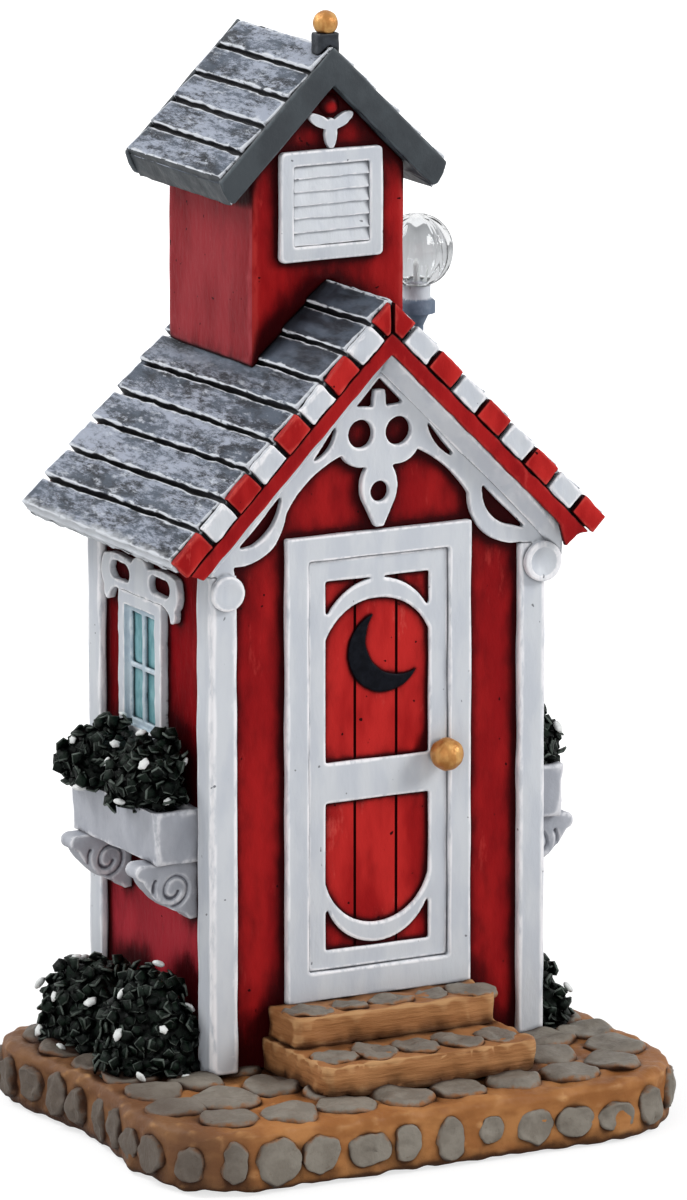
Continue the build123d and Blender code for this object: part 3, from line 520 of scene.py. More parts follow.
paving_tree, given = new_tree("paving", ("Geometry", "Geometry", None), ("Share", "Float", 0.7),
                              ("Apart", "Float", 0.0066), ("Half Width", "Float", 0.0037),
                              ("Half Thickness", "Float", 0.0009), ("Height", "Float", 0.0071),
                              ("Seed", "Int", 3), ("Finish", "Material", None))
ring = node(paving_tree, "GeometryNodeMeshToCurve", {0: given["Geometry"]}).outputs[0]
floor = node(paving_tree, "GeometryNodeFillCurve", {0: ring}).outputs[0]
small = point(paving_tree, given["Share"], given["Share"], 1.0)
high = point(paving_tree, z=given["Height"])
floor = node(paving_tree, "GeometryNodeTransform",
             {"Geometry": floor, "Translation": high, "Scale": small}).outputs[0]
spots = node(paving_tree, "GeometryNodeDistributePointsOnFaces",
             {"Mesh": floor, "Distance Min": given["Apart"], "Density Max": 400000.0, "Seed": given["Seed"]},
             distribute_method="POISSON").outputs[0]
border = node(paving_tree, "GeometryNodeTransform",
              {"Geometry": ring, "Translation": high, "Scale": (0.87, 0.86, 1)}).outputs[0]
border = node(paving_tree, "GeometryNodeResampleCurve", {"Curve": border, "Length": 0.0072}, mode="LENGTH")
border = node(paving_tree, "GeometryNodeCurveToPoints", {0: border.outputs[0]}, mode="EVALUATED").outputs[0]
spots = node(paving_tree, "GeometryNodeJoinGeometry", {0: spots})
paving_tree.links.new(border, spots.inputs[0])
turned = by_chance(paving_tree, (-0.03, -0.03, -3.1), (0.03, 0.03, 3.1), 4)
chance = by_chance(paving_tree, (0.82, 0.75, 0.85), (1.12, 1.0, 1.15), 5)
sizes = point(paving_tree, given["Half Width"], given["Half Width"], given["Half Thickness"])
sizes = vectors(paving_tree, "MULTIPLY", chance, sizes)
flags = copied(paving_tree, spots.outputs[0], worn_stone(paving_tree), turned, sizes)
whole = realized(paving_tree, flags)
end_tree(paving_tree, chipped(paving_tree, whole, 4.0, 0.9), given["Finish"])

for stones in (grown("side_cobbles", cobble_tree, rim_mesh, Sunk=1.05 * MM - foot_inset, Finish=stone_paint),
               grown("paving_stones", paving_tree, rim_mesh, Finish=stone_paint)):
    stones.data.vertices.foreach_set("co", within_cad(points_of(stones.data)).ravel())
    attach(stones, "root")


# ---------------- steps
# Two cast steps of the same earthy body, brushed along their risers so that they look like rough sawn
# blocks. Flat grey stones lie in their treads, with dark wash and painted shade in the crevices.
step_paint = paint("step_paint", (0.44, 0.205, 0.082), (0.33, 0.142, 0.053), 1.6, (0.14, 0.14, 1.3),
                   wash_shade=(0.035, 0.012, 0.006), wash_shade_reach=2.4, wash_shade_from=0.5, wash_shade_to=0.9,
                   rubbed=(0.56, 0.31, 0.14), rub_from=0.02, rub_to=0.08, speck=(0.16, 0.06, 0.022),
                   speck_size=1.5, speck_from=0.62, roughness=0.5, gleam=0.1, bump=0.6, bump_size=0.5,
                   bump_stretch=(0.15, 0.15, 1.2))
for tread in ("lower_step", "upper_step"):
    block = softened(merged(tread + "_block", tread), 0.25, 4, 0.12, 3.0, 0.5, 11)
    finished(block, step_paint, "step_stone", tread)

tread_tree, given = new_tree("tread_stones", ("Stones", "Int", 5), ("Start", "Vector", None),
                             ("Step", "Vector", None), ("Half Size", "Vector", None), ("Seed", "Int", 1),
                             ("Finish", "Material", None))
row = node(tread_tree, "GeometryNodeMeshLine",
           {"Count": given["Stones"], "Start Location": given["Start"], "Offset": given["Step"]}).outputs[0]
chance = by_chance(tread_tree, (0.75, 0.75, 0.8), (1.1, 1.1, 1.1), given["Seed"])
sizes = vectors(tread_tree, "MULTIPLY", chance, given["Half Size"])
turned = by_chance(tread_tree, (-0.05, -0.05, -0.5), (0.05, 0.05, 0.5), given["Seed"])
slabs = copied(tread_tree, row, worn_stone(tread_tree), turned, sizes)
whole = realized(tread_tree, slabs)
end_tree(tread_tree, chipped(tread_tree, whole, 2.2, 0.7), given["Finish"])
for tread, depth, seed in (("lower_step", 8.2, 2), ("upper_step", 6.0, 9)):
    low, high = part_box(tread)
    start = Vector((low.x + 2.9 * MM, low.y + (depth / 2 - 0.3) * MM, high.z - 0.08 * MM))
    slabs = grown(tread + "_stones", tread_tree, Stones=5, Start=start, Step=Vector((5.1 * MM, 0, 0)),
                  Half_Size=Vector((2.7, depth * 0.40, 0.5)) * MM, Seed=seed, Finish=stone_paint)
    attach(slabs, "root")


# ---------------- walls
# Plain cast walls brushed in barn red over a darker coat. Beside the trim, under the eaves and near the
# ground they are darker with dark wash and painted shade.
def barn_red(name, body, second, high, reach, gleam=0.06, painted_light_drift=None):
    """Red brushed down over a darker coat, with dark wash and painted shade as far as the reach, and lighter
    brush marks.
    """
    return paint(name, body, second, 5.0, (1, 1, 0.35), wash_shade=(0.022, 0.0006, 0.0015), wash_shade_reach=reach,
                 wash_shade_from=0.72, wash_shade_to=1.0, wash_shade_most=0.97, rubbed=high, rub_from=0.01, rub_to=0.08,
                 speck=high, speck_size=2.5, speck_from=0.6, roughness=0.42, gleam=gleam, bump=0.4,
                 bump_size=0.7, bump_stretch=(1, 1, 0.4), pits=0.745, painted_light_drift=painted_light_drift)


wall_red = barn_red("wall_red", (0.38, 0.011, 0.012), (0.28, 0.006, 0.008), (0.45, 0.028, 0.026), 4.6)
# The side walls: a darker red, partly their own paint and partly painted shade under the eaves, and painted
# lighter and pinker towards the bottom as painted light.
side_red = barn_red("side_red", (0.24, 0.004, 0.007), (0.16, 0.002, 0.004), (0.32, 0.013, 0.017), 4.0, 0.015,
                    (2, 20, 40, (0.45, 0.036, 0.052), 0.75))
bright_red = barn_red("bright_red", (0.52, 0.022, 0.020), (0.33, 0.008, 0.009), (0.60, 0.06, 0.05), 2.2)
for wall, finish in (("front_wall", wall_red), ("back_wall", wall_red), ("left_wall", side_red),
                     ("right_wall", side_red), ("door_boards", bright_red)):
    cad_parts[wall].material_slots[0].material = finish


# ---------------- white trim
# Corner posts, door casing, door frame and vent frame are raised bands of the casting, painted in cool
# white by hand: their edges waver, a grey wash and painted shade lie in their corners, and their arrises are
# rubbed whiter, partly worn paint and partly painted highlight.
white_paint = paint("white_paint", (0.64, 0.665, 0.70), (0.57, 0.60, 0.65), 3.0, (1, 1, 0.3),
                    wash_shade=(0.20, 0.21, 0.23), wash_shade_reach=0.8, wash_shade_from=0.42, wash_shade_to=0.82, wash_shade_most=0.8,
                    pits=0.765, rubbed=(0.93, 0.92, 0.94), rub_from=0.01, rub_to=0.05,
                    speck=(0.45, 0.49, 0.52), speck_size=0.9, speck_from=0.68, roughness=0.42, gleam=0.3,
                    bump=0.22, bump_size=0.6, bump_stretch=(1, 1, 0.35), hollow=0.09)


def run_on(points, out):
    """Carries the front soffit's right end on behind the bead until it meets the volute."""
    end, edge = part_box("soffits")[1].x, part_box("gable_fretwork")[1].x
    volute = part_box("gable_fretwork")[0].y
    late = numpy.clip((points[:, 0] - end) / (3.0 * MM) + 1, 0, 1) * (points[:, 1] < 0)
    points = points + late[:, None] * numpy.array((2.4, 0, -2.4)) * MM
    points = points - (late ** 2)[:, None] * numpy.array((0, 0, 1.1)) * MM
    points[:, 0] = numpy.minimum(points[:, 0], edge)
    points[:, 1] += late * numpy.maximum(volute + 0.3 * MM - points[:, 1], 0)
    return points


for name, voxel, rounds, ripple, keep, seed in (
    ("front_posts", 0.2, 3, 0.05, 0.45, 21), ("back_posts", 0.25, 3, 0.05, 0.45, 22),
    ("door_casing", 0.18, 3, 0.04, 0.4, 23), ("door_frame", 0.16, 3, 0.03, 0.4, 24),
    ("vent_frame", 0.14, 3, 0.03, 0.5, 25), ("soffits", 0.2, 3, 0.03, 0.4, 26),
):
    shape = run_on if name == "soffits" else None
    cast(name, voxel, rounds, ripple, 7.0, keep, seed, white_paint, "white_trim", shape)


# ---------------- fretwork
# The gable's scrollwork is one pierced casting with rounded bars, brushed in the same white. Its ends curl
# into volutes, and the right one is dished.
def dished(points, out):
    """Gives the right volute a wide shallow dish, and leaves the left one nearly flat."""
    low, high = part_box("gable_fretwork")
    for middle, radius, depth in (((high.x - 2.3 * MM, low.z + 2.3 * MM), 1.7 * MM, 0.6 * MM),
                                  ((low.x + 2.0 * MM, low.z + 2.6 * MM), 1.3 * MM, 0.1 * MM)):
        off = numpy.hypot(points[:, 0] - middle[0], points[:, 2] - middle[1]) / radius
        inside = (off < 1) & (points[:, 1] < low.y + 0.7 * MM)
        points[inside, 1] = low.y + depth * (1 - off[inside] ** 2)
    return points


fretwork = softened(merged("gable_scrollwork", "gable_fretwork"), 0.14, 6, 0.04, 4.0, 0.4, 31, dished)
finished(fretwork, white_paint, "white_trim", "gable_fretwork")


# ---------------- moon and knob
# The crescent is a thin raised shape in matt black. The knob is a ball on a short neck in brushed gold
# paint.
black_paint = paint("black_paint", (0.003, 0.0035, 0.006), (0.006, 0.007, 0.011), 1.0, roughness=0.5,
                    gleam=0.06, bump=0.3)
gold_paint = paint("gold_paint", (0.68, 0.37, 0.12), (0.48, 0.21, 0.055), 1.2, (1, 1, 0.5),
                   wash_shade=(0.10, 0.03, 0.01), wash_shade_reach=0.8, rubbed=(0.9, 0.62, 0.30), rub_from=0.02,
                   rub_to=0.1, roughness=0.36, bump=0.35, bump_size=0.5, metal=0.35)
finished(softened(merged("moon", "crescent_moon"), 0.09, 3, 0.03, 1.5, 0.5, 33), black_paint, "black_paint",
         "crescent_moon")
finished(softened(merged("knob", "door_knob"), 0.12, 4, 0.05, 1.2, 0.6, 34), gold_paint, "gold_paint",
         "door_knob")


# ---------------- roofs
# Each slope is a slab with thick lapped boards on it. The boards are painted slate and dry-brushed with
# silver, which catches their arrises, and the joints between them are left nearly black. Near the ridge in
# front of the tower and in corners the boards are painted dark and bare of silver: painted shadow of the
# tower.
slate_paint, tree = blank("slate_paint")
relief = node(tree, "ShaderNodeAttribute", attribute_name="relief").outputs["Fac"]
corner = openness(tree, 14 * MM)
cleft = openness(tree, 0.7 * MM)
grain = blotches(tree, 0.6, (1, 0.25, 1), 8, 0.85)
broad = blotches(tree, 4.0, (1, 0.22, 1), 3, 0.6, 0.1)
ground = shade(tree, between(tree, blotches(tree, 2.4, (1, 0.3, 1), 4, 0.6, 0.2), 0.38, 0.62),
               (0.012, 0.016, 0.024, 1), (0.095, 0.120, 0.160, 1))
held = spread(tree, broad, 0.3, 0.7, 0.64, 0.39)
over = maths(tree, "SUBTRACT", grain, held)
# Painted shade: the ground coat goes nearly black in corners and beside the tower, as far as 14 mm.
ground = shade(tree, between(tree, corner, 0.45, 0.92), (0.010, 0.009, 0.012, 1), ground)
rise = node(tree, "ShaderNodeSeparateXYZ", {0: on_piece(tree)}).outputs[2]
ridge_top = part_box("roof_left")[1].z
# Painted shadow of the tower: the boards near the ridge in front of it keep little silver.
tower_shadow_band = times(tree, between(tree, rise, ridge_top - 13 * MM, ridge_top - 7 * MM),
                   spread(tree, rise, ridge_top + 3 * MM, ridge_top + 6 * MM, 1.0, 0.0))
outside_tower_shadow = spread(tree, tower_shadow_band, 0.0, 1.0, 1.0, 0.12)
# The silver dry brush and smears, kept out of the painted shade of corners and the tower's painted shadow.
brushed_out_of_shade = times(tree, between(tree, over, -0.07, 0.10), between(tree, corner, 0.66, 0.98))
brushed_out_of_shade = times(tree, brushed_out_of_shade, outside_tower_shadow)
colour = shade(tree, times(tree, brushed_out_of_shade, 0.92), ground, (0.47, 0.515, 0.62, 1))
smears_out_of_shade = times(tree, between(tree, blotches(tree, 1.1, (1, 0.3, 1), 5, 0.75, 0.3), 0.56, 0.72),
               times(tree, outside_tower_shadow, between(tree, corner, 0.65, 0.97)))
colour = shade(tree, smears_out_of_shade, colour, (0.66, 0.70, 0.77, 1))
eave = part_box("roof_left")[0].z
height = maths(tree, "MULTIPLY_ADD", blotches(tree, 2.0, (1, 0.5, 1), 5, 0.7, 0.4), -2.4 * MM, rise)
broken = spread(tree, height, eave + 0.9 * MM, eave + 1.7 * MM, 0.8, 0.0)
colour = shade(tree, broken, colour, (0.76, 0.79, 0.83, 1))
arris = times(tree, between(tree, relief, 0.012, 0.05),
              between(tree, blotches(tree, 0.8, (1, 0.5, 1), 4), 0.3, 0.48))
colour = shade(tree, arris, colour, (0.80, 0.83, 0.88, 1))
colour = shade(tree, between(tree, cleft, 0.32, 0.6), (0.006, 0.007, 0.009, 1), colour)
raised = node(tree, "ShaderNodeBump", {"Height": grain, "Strength": 0.6, "Distance": 0.35 * MM})
skin = node(tree, "ShaderNodeBsdfPrincipled",
            {"Base Color": colour, "Roughness": 0.45, "Specular IOR Level": 0.2, "Normal": raised.outputs[0]})
node(tree, "ShaderNodeOutputMaterial", {"Surface": skin.outputs[0]})
fascia_paint = paint("fascia_paint", (0.042, 0.049, 0.056), (0.054, 0.064, 0.072), 4.0,
                     wash_shade=(0.012, 0.014, 0.016), wash_shade_reach=0.8, rubbed=(0.16, 0.19, 0.21), rub_from=0.04,
                     rub_to=0.16, roughness=0.42, gleam=0.25, bump=0.3, bump_size=0.6,
                     bump_stretch=(0.6, 0.6, 0.6))

board_tree, given = new_tree("lapped_boards", ("Boards", "Int", 9), ("Slope", "Float", 0.038),
                             ("Length", "Float", 0.035), ("Thickness", "Float", 0.0012),
                             ("Joint", "Float", 0.0003), ("Lift", "Float", -0.09), ("Creep", "Float", 0.0),
                             ("Skew", "Float", 0.0), ("Ridge", "Vector", None), ("Turn", "Vector", None),
                             ("Seed", "Int", 1), ("Finish", "Material", None))
width = maths(board_tree, "DIVIDE", given["Slope"], given["Boards"])
first = times(board_tree, width, 0.5)
narrow = maths(board_tree, "SUBTRACT", width, given["Joint"])
first = point(board_tree, first)
apart = point(board_tree, width)
row = node(board_tree, "GeometryNodeMeshLine",
           {"Count": given["Boards"], "Start Location": first, "Offset": apart}).outputs[0]
size = point(board_tree, narrow, given["Length"], given["Thickness"])
board = node(board_tree, "GeometryNodeMeshCube",
             {"Size": size, "Vertices X": 5, "Vertices Y": 40, "Vertices Z": 3}).outputs["Mesh"]
tilt = point(board_tree, y=given["Lift"])
askew = by_chance(board_tree, (0, -0.015, -0.004), (0, 0.015, 0.004), given["Seed"])
tilt = vectors(board_tree, "ADD", tilt, askew)
uneven = by_chance(board_tree, (0.97, 0.988, 0.95), (1.0, 1.0, 1.05), given["Seed"])
boards = copied(board_tree, row, board, tilt, uneven)
boards = realized(board_tree, boards)
where = node(board_tree, "GeometryNodeInputPosition").outputs[0]
where = node(board_tree, "ShaderNodeSeparateXYZ", {0: where}).outputs
below = maths(board_tree, "SUBTRACT", given["Slope"], where[0])
inner = maths(board_tree, "MINIMUM", below, where[0])
inner = maths(board_tree, "DIVIDE", inner, width, use_clamp=True)
crept = maths(board_tree, "MULTIPLY_ADD", where[1], given["Skew"], given["Creep"])
crept = times(board_tree, crept, inner)
crept = times(board_tree, crept, -1.0)
crept = point(board_tree, crept)
boards = node(board_tree, "GeometryNodeSetPosition", {"Geometry": boards, "Offset": crept}).outputs[0]
boards = chipped(board_tree, boards, 3.5, 0.22)
boards = node(board_tree, "GeometryNodeTransform",
              {"Geometry": boards, "Translation": given["Ridge"], "Rotation": given["Turn"]}).outputs[0]
end_tree(board_tree, boards, given["Finish"])


def joined(name, *parts):
    """Several pieces as one mesh, to be cast together."""
    gathered = bmesh.new()
    for part in parts:
        gathered.from_mesh(part.data)
        bpy.data.objects.remove(part)
    mesh = bpy.data.meshes.new(name)
    gathered.to_mesh(mesh)
    gathered.free()
    return placed(name, mesh)


run_out = 0.8 * MM
boards_sunk = 0.55
slab_sunk = 0.9
board_thickness = 1.5 * MM
board_joint = 0.42 * MM
board_lap = 0.4 * MM
eave_band = 1.6 * MM
for cad_name, name, count, angle, side, creep, skew, seed in (
    ("roof_left", "left_slope", 9, 44.8, -1, 0.3, 0.022, 41),
    ("roof_right", "right_slope", 9, 44.8, 1, 0, 0, 42),
    ("tower_roof_left", "tower_left_slope", 5, 44.6, -1, 0, 0, 43),
    ("tower_roof_right", "tower_right_slope", 5, 44.6, 1, 0, 0, 44),
):
    low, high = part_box(cad_name)
    of_house = cad_name.startswith("roof")
    tilt = math.radians(angle)
    past = run_out if of_house else 0
    ridge = Vector((low.x if side > 0 else high.x, (low.y + high.y) / 2, 0))
    cad_points = points_of(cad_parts[cad_name].data)
    ridge.z = max(corner[2] for corner in cad_points if abs(corner[0] - ridge.x) < 1e-5)
    up = Vector((side * math.sin(tilt), 0, math.cos(tilt)))
    down = Vector((side * math.cos(tilt), 0, -math.sin(tilt)))
    slope = max((Vector(corner) - ridge).dot(down) for corner in cad_points
                if (Vector(corner) - ridge).dot(up) > 0.1 * MM)
    start = ridge - up * boards_sunk * MM + Vector((0, past / 2, 0))
    turn = Vector((0, tilt, 0 if side > 0 else math.pi))
    boards = grown(name + "_boards", board_tree, Boards=count, Slope=slope, Length=high.y - low.y + past,
                   Thickness=board_thickness, Joint=board_joint, Lift=-board_lap / (slope / count),
                   Creep=creep * MM, Skew=skew, Seed=seed, Ridge=start, Turn=turn, Finish=slate_paint)
    slab = merged(name + "_slab", cad_name)
    slab.data.transform(Matrix.Translation(up * -slab_sunk * MM))
    thick = max((ridge - Vector(corner)).dot(up) for corner in cad_points)

    def undercut(points, out):
        """Keeps the underside at its own height, and thins the house's eaves, which the mould left rough."""
        depth = (numpy.array(ridge) - points) @ numpy.array(up)
        beyond = slope - (points - ridge) @ numpy.array(down)
        most = numpy.full(len(points), thick)
        if of_house:
            ragged = 1.3 * MM + 0.25 * MM * wander(points, 2.0, seed) + 0.9 * numpy.maximum(beyond, 0)
            most = numpy.minimum(most, ragged)
        return points + numpy.array(up) * numpy.maximum(depth - most, 0)[:, None]

    roof = softened(joined(name, slab, boards), 0.15, 1, 0.04, 3.0, 0.3, seed, undercut)
    finished(roof, slate_paint, "roof_grey", cad_name)
    roof.data.materials.append(fascia_paint)
    for face in roof.data.polygons:
        last = (face.center - ridge).dot(down) > slope - eave_band
        eave = not of_house and face.normal.dot(down) > 0.5 and last
        if eave or face.normal.dot(up) < -0.3:
            face.material_index = 1

cast("tower_fascias", 0.16, 5, 0.05, 5.0, 0.4, 45, fascia_paint, "fascia_grey")


# ---------------- rake blocks and beads
# Little blocks, red and white by turns, run up the roof's edges over a rounded red bead. At the back the
# boards run out over them, and their lower ends are trimmed to the thin eaves.
def under_boards(points, out):
    """Keeps the back blocks under the boards' ends, and trims the lower ones to the eaves."""
    low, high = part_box("roof_right")
    run, fall = numpy.abs(points[:, 0] - low.x), high.z - points[:, 2]
    along, depth = (run + fall) * math.sqrt(0.5), (fall - run) * math.sqrt(0.5)
    most = 1.4 * MM + 0.9 * numpy.maximum((high.x - low.x) * math.sqrt(2) - along, 0)
    shift = (numpy.clip(depth, 0.9 * MM, most) - depth) * (points[:, 1] > 0) * math.sqrt(0.5)
    sideways = shift * numpy.sign(points[:, 0] - low.x)
    return points - numpy.stack([sideways, 0 * shift, shift], 1)


for name, finish, slot, seed in (("red_rake_blocks", bright_red, "red_paint", 51),
                                 ("white_rake_blocks", white_paint, "white_trim", 52),
                                 ("rake_beads", wall_red, "red_paint", 53)):
    cast(name, 0.14, 5, 0.05, 2.0, 0.5, seed, finish, slot, under_boards)


# ---------------- tower
# The tower's body is cast with soft corners and painted as the walls are; its sides are painted paler and
# pinker, a painted reflection of the tent's light.
# A boss and a three-leaved ornament stand in its gable over a louvred vent, and a gilt ball on a block
# stands on the ridge.
block_paint = paint("block_paint", (0.018, 0.022, 0.028), (0.030, 0.036, 0.046), 1.0,
                    rubbed=(0.16, 0.18, 0.21), rub_from=0.04, rub_to=0.16, roughness=0.42, gleam=0.3,
                    bump=0.3)
tower_red = barn_red("tower_red", (0.32, 0.032, 0.040), (0.25, 0.020, 0.026), (0.38, 0.055, 0.065), 3.0)
tower = softened(merged("tower_walls", "tower"), 0.3, 3, 0.06, 8.0, 0.4, 61)
finished(tower, wall_red, "red_paint", "tower")
tower.data.materials.append(tower_red)
# Painted reflection: the faces turned to either side take the paler, pinker red.
for face in tower.data.polygons:
    if abs(face.normal.x) > 0.7:
        face.material_index = 1
for name, finish, slot, voxel, seed in (("trefoil", white_paint, "white_trim", 0.1, 62),
                                        ("gable_boss", wall_red, "red_paint", 0.1, 63),
                                        ("finial_block", block_paint, "fascia_grey", 0.12, 64),
                                        ("finial_ball", gold_paint, "gold_paint", 0.1, 65)):
    cast(name, voxel, 4, 0.04, 1.5, 0.6, seed, finish, slot)

slat_tree, given = new_tree("louvre_slats", ("Slats", "Int", 6), ("Rise", "Float", 0.0015),
                            ("Width", "Float", 0.0095), ("First", "Vector", None),
                            ("Finish", "Material", None))
upward = point(slat_tree, z=given["Rise"])
row = node(slat_tree, "GeometryNodeMeshLine",
           {"Count": given["Slats"], "Start Location": given["First"], "Offset": upward}).outputs[0]
size = point(slat_tree, given["Width"], 0.0005, given["Rise"])
slat = node(slat_tree, "GeometryNodeMeshCube",
            {"Size": size, "Vertices X": 16, "Vertices Y": 3, "Vertices Z": 5}).outputs["Mesh"]
slats = node(slat_tree, "GeometryNodeInstanceOnPoints",
             {"Points": row, "Instance": slat, "Rotation": (math.radians(-17), 0, 0)}).outputs[0]
slats = realized(slat_tree, slats)
end_tree(slat_tree, chipped(slat_tree, slats, 2.5, 0.12), given["Finish"])
low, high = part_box("vent_louvres")
slat_count = 6
rise = (high.z - low.z) / slat_count
louvres = grown("vent_slats", slat_tree, Slats=slat_count, Rise=rise, Width=high.x - low.x,
                First=Vector(((low.x + high.x) / 2, low.y + 0.32 * MM, low.z + rise / 2)),
                Finish=white_paint)
finished(softened(louvres, 0.09, 2, 0.02, 2.0, 0.4, 66), white_paint, "white_trim", "vent_louvres")


# ---------------- windows
# A raised white casing with two lights either side of a thin bar, blue-grey sash, painted teal panes, and a
# carved crest over it with two red eyes.
sash_paint = paint("sash_paint", (0.50, 0.60, 0.66), (0.42, 0.52, 0.60), 1.5, wash_shade=(0.10, 0.12, 0.14),
                   wash_shade_reach=0.6, rubbed=(0.75, 0.80, 0.84), roughness=0.4, bump=0.25)
pane_paint = paint("pane_paint", (0.12, 0.30, 0.33), (0.22, 0.44, 0.48), 1.6, (1, 1, 0.5),
                   wash_shade=(0.02, 0.06, 0.07), wash_shade_reach=0.9, roughness=0.18, bump=0.12)
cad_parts["window_panes"].material_slots[0].material = pane_paint
casing_board = 1.45 * MM
for side in ("left", "right"):
    name = side + "_window_frame"
    casing = cast(name, 0.13, 2, 0.03, 2.0, 0.5, 71, white_paint, "white_trim")
    casing.data.materials.append(sash_paint)
    low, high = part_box(name)
    for face in casing.data.polygons:
        inset = min(min(face.center[axis] - low[axis], high[axis] - face.center[axis]) for axis in (1, 2))
        if inset > casing_board:
            face.material_index = 1
finished(softened(merged("crests_cast", "window_crests"), 0.13, 4, 0.05, 2.0, 0.5, 73), white_paint,
         "white_trim", "window_crests")


# ---------------- flower boxes
# White boxes with a slight flare stand on two scrolled consoles each. The scroll is a raised coil on both
# cheeks.
box_paint = paint("box_paint", (0.46, 0.475, 0.52), (0.40, 0.415, 0.46), 3.0, (1, 1, 0.5),
                  wash_shade=(0.10, 0.10, 0.12), wash_shade_reach=1.0, wash_shade_from=0.42, wash_shade_to=0.85, wash_shade_most=0.8,
                  rubbed=(0.78, 0.78, 0.81), rub_from=0.01, rub_to=0.06, speck=(0.34, 0.35, 0.40),
                  speck_size=1.2, speck_from=0.62, roughness=0.45, gleam=0.25, bump=0.25, bump_size=0.6,
                  hollow=0.07)
for side in ("left", "right"):
    name = side + "_flower_box"
    cast(name, 0.2, 4, 0.07, 3.0, 0.5, 81, box_paint, "white_trim")
    name = side + "_box_consoles"
    cast(name, 0.13, 3, 0.04, 2.0, 0.5, 82, box_paint, "white_trim")


# ---------------- plants
# Ivy-like mounds in the boxes and bushes on the ground: nearly black leaves with lighter rims, partly painted
# edges and partly painted glints, with painted shade deep among them, dotted with small white five-lobed
# flowers.
# Painted glints on the leaf rims, and painted shade between the leaves.
leaf_paint = paint("leaf_paint", (0.0012, 0.003, 0.002), (0.005, 0.012, 0.007), 1.2,
                   wash_shade=(0.0004, 0.0008, 0.0006), wash_shade_reach=1.0, wash_shade_from=0.45, wash_shade_to=0.95,
                   wash_shade_most=1.0, roughness=0.40, gleam=0.10, bump=0.5, bump_size=0.4,
                   rim=(0.13, 0.155, 0.135), rim_from=1.07)
flower_paint = paint("flower_paint", (0.86, 0.87, 0.86), (0.78, 0.80, 0.78), 0.8, wash_shade=(0.25, 0.30, 0.24),
                     wash_shade_reach=0.5, roughness=0.5, gleam=0.2, bump=0.2)
leaf_mesh = bpy.data.meshes.new("leaf")
top = [(0, 0, 0), (0, 0.5, 0.1), (0, 1, -0.22), (-0.4, 0.26, 0.14), (-0.46, 0.66, 0.02), (0.4, 0.26, 0.14),
       (0.46, 0.66, 0.02)]
underside = [(0, 0, -0.16), (0, 0.5, -0.08), (0, 0.96, -0.36), (-0.37, 0.26, -0.03), (-0.43, 0.66, -0.15),
             (0.37, 0.26, -0.03), (0.43, 0.66, -0.15)]
leaf_mesh.from_pydata(top + underside, [], [
    (0, 1, 4, 3), (1, 2, 4), (0, 5, 6, 1), (1, 6, 2),
    (7, 10, 11, 8), (8, 11, 9), (7, 8, 13, 12), (8, 9, 13),
    (0, 3, 10, 7), (3, 4, 11, 10), (4, 2, 9, 11), (0, 7, 12, 5), (5, 12, 13, 6), (6, 13, 9, 2),
])
edged = leaf_mesh.attributes.new("rim", "FLOAT", "POINT")
edged.data.foreach_set("value", [0, 0, 1, 1, 1, 1, 1] * 2)
leaf_form = bpy.data.objects.new("leaf_form", leaf_mesh)

leaf_tree, given = new_tree("leaf_cover", ("Geometry", "Geometry", None), ("Apart", "Float", 0.0008),
                            ("Leaf Length", "Float", 0.0019), ("Leaf", "Object", None),
                            ("Tilt", "Float", 0.6), ("Seed", "Int", 1), ("Finish", "Material", None))
spots = node(leaf_tree, "GeometryNodeDistributePointsOnFaces",
             {"Mesh": given["Geometry"], "Distance Min": given["Apart"], "Density Max": 4000000.0,
              "Seed": given["Seed"]}, distribute_method="POISSON")
leaf = node(leaf_tree, "GeometryNodeObjectInfo", {"Object": given["Leaf"]}).outputs["Geometry"]
spin = by_chance(leaf_tree, 0.0, 6.283, given["Seed"])
lean = by_chance(leaf_tree, 0.1, 1.1, 5)
lean = times(leaf_tree, lean, given["Tilt"])
upright = node(leaf_tree, "FunctionNodeAlignRotationToVector", {"Vector": spots.outputs["Normal"]},
               axis="Z").outputs[0]
spin = point(leaf_tree, z=spin)
turned = node(leaf_tree, "FunctionNodeRotateRotation", {"Rotation": upright, "Rotate By": spin},
              rotation_space="LOCAL").outputs[0]
lean = point(leaf_tree, lean)
turned = node(leaf_tree, "FunctionNodeRotateRotation", {"Rotation": turned, "Rotate By": lean},
              rotation_space="LOCAL").outputs[0]
vary = by_chance(leaf_tree, 0.7, 1.15, 8)
size = times(leaf_tree, vary, given["Leaf Length"])
leaves = copied(leaf_tree, spots.outputs["Points"], leaf, turned, size)
end_tree(leaf_tree, leaves, given["Finish"])

flower_mesh = bpy.data.meshes.new("flower")
petals = bmesh.new()
bmesh.ops.create_uvsphere(petals, u_segments=15, v_segments=6, radius=1)
for corner in petals.verts:
    lobe = 0.87 + 0.13 * math.cos(5 * math.atan2(corner.co.y, corner.co.x))
    corner.co = Vector((corner.co.x * lobe, corner.co.y * lobe, 0.45 * corner.co.z + 0.2))
petals.to_mesh(flower_mesh)
petals.free()
flower_form = bpy.data.objects.new("flower_form", flower_mesh)

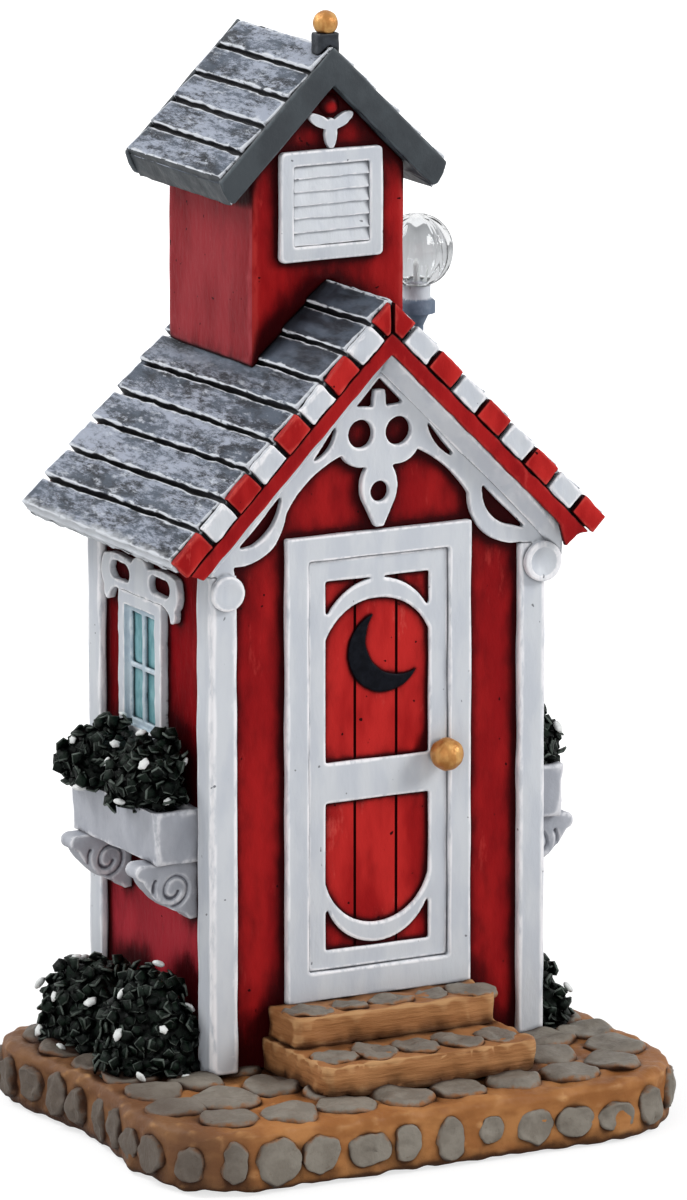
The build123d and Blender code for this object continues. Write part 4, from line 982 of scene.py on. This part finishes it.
for name, cad_name, apart, growth in (("box_leaves", "box_plants", 0.00072, 0.8),
                                      ("bush_leaves", "ground_bushes", 0.00078, 0.6)):
    def trimmed(points, out):
        """Leaves room for the leaves, and keeps the plants on the right side smaller."""
        points = points - out * 0.9 * MM
        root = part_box(cad_name)[0].z
        right = points[:, 0] > 0
        points[:, 0] -= 0.2 * (points[:, 0] - 23.4 * MM) * right
        points[:, 2] -= (1 - growth) * (points[:, 2] - root) * right
        return points

    mound = softened(merged(name + "_mound", cad_name), 0.4, 4, 0.6, 3.2, 0.5, 91, trimmed)
    finished(mound, leaf_paint, "foliage_green", cad_name)
    leaves = grown(name, leaf_tree, mound.data.copy(), Apart=apart, Leaf_Length=0.0017, Leaf=leaf_form,
                   Tilt=0.95, Seed=7, Finish=leaf_paint)
    crust = mound.data.copy()
    crust.vertices.foreach_set("co", (points_of(crust) + points_of(crust, "normal") * 0.8 * MM).ravel())
    flowers = grown(name.replace("leaves", "flowers"), leaf_tree, crust, Apart=0.0048, Leaf_Length=0.00078,
                    Leaf=flower_form, Tilt=0.3, Seed=3, Finish=flower_paint)
    for green in (leaves, flowers):
        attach(green, "root")
for form in (leaf_form, flower_form):
    bpy.data.objects.remove(form)


# ---------------- lamp
# A clear fluted globe over a small light core, on a white collar and a grey post behind the house. Its shell
# is half a millimetre thick and open at the neck.
lamp_paint = paint("lamp_paint", (0.11, 0.15, 0.21), (0.16, 0.20, 0.27), 2.0, roughness=0.45, bump=0.2)
for name, finish in (("lamp_post", lamp_paint), ("lamp_led", flower_paint)):
    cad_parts[name].material_slots[0].material = finish
collar = merged("lamp_collar", "lamp_socket")
finished(collar, white_paint, "white_trim", "lamp_socket")
collar.data.materials.append(lamp_paint)
grey_foot = 1.7 * MM
low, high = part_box("lamp_socket")
for face in collar.data.polygons:
    if face.center.z < low.z + grey_foot:
        face.material_index = 1
clear_glass, tree = blank("clear_glass")
skin = node(tree, "ShaderNodeBsdfPrincipled",
            {"Base Color": (0.95, 0.96, 0.97, 1), "Roughness": 0.04, "Transmission Weight": 1.0, "IOR": 1.45})
node(tree, "ShaderNodeOutputMaterial", {"Surface": skin.outputs[0]})
low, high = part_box("lamp_globe")
radius = (high.x - low.x) / 2
middle = Vector((low.x + radius, low.y + radius, high.z - radius))
neck_radius = 1.6 * MM
neck = math.pi - math.asin(neck_radius / radius)
shell = 0.5 * MM
flute_count = 12
flute_depth = 0.06
ring_count = 24
around = 72
rings = [(radius, neck * step / ring_count, flute_depth) for step in range(ring_count + 1)]
rings += [(radius - shell, neck * (ring_count - step) / ring_count, 0.0) for step in range(ring_count + 1)]
corners = []
for size, down, flute in rings:
    for turn in (2 * math.pi * step / around for step in range(around)):
        drawn_in = 1 - flute * (1 + math.cos(flute_count * turn)) / 2
        across, along = math.sin(down) * math.cos(turn), math.sin(down) * math.sin(turn)
        corners.append(middle + size * Vector((across * drawn_in, along * drawn_in, math.cos(down))))
faces = []
for ring in range(len(rings) - 1):
    for step in range(around):
        upper, lower, following = around * ring, around * (ring + 1), (step + 1) % around
        faces.append((upper + step, lower + step, lower + following, upper + following))
bulb_mesh = bpy.data.meshes.new("fluted_globe")
bulb_mesh.from_pydata(corners, [], faces)
welded = bmesh.new()
welded.from_mesh(bulb_mesh)
bmesh.ops.remove_doubles(welded, verts=welded.verts, dist=1e-7)
welded.to_mesh(bulb_mesh)
welded.free()
smooth_faces(bulb_mesh)
globe = placed("fluted_globe", bulb_mesh)
finished(globe, clear_glass, "clear_globe", "lamp_globe")
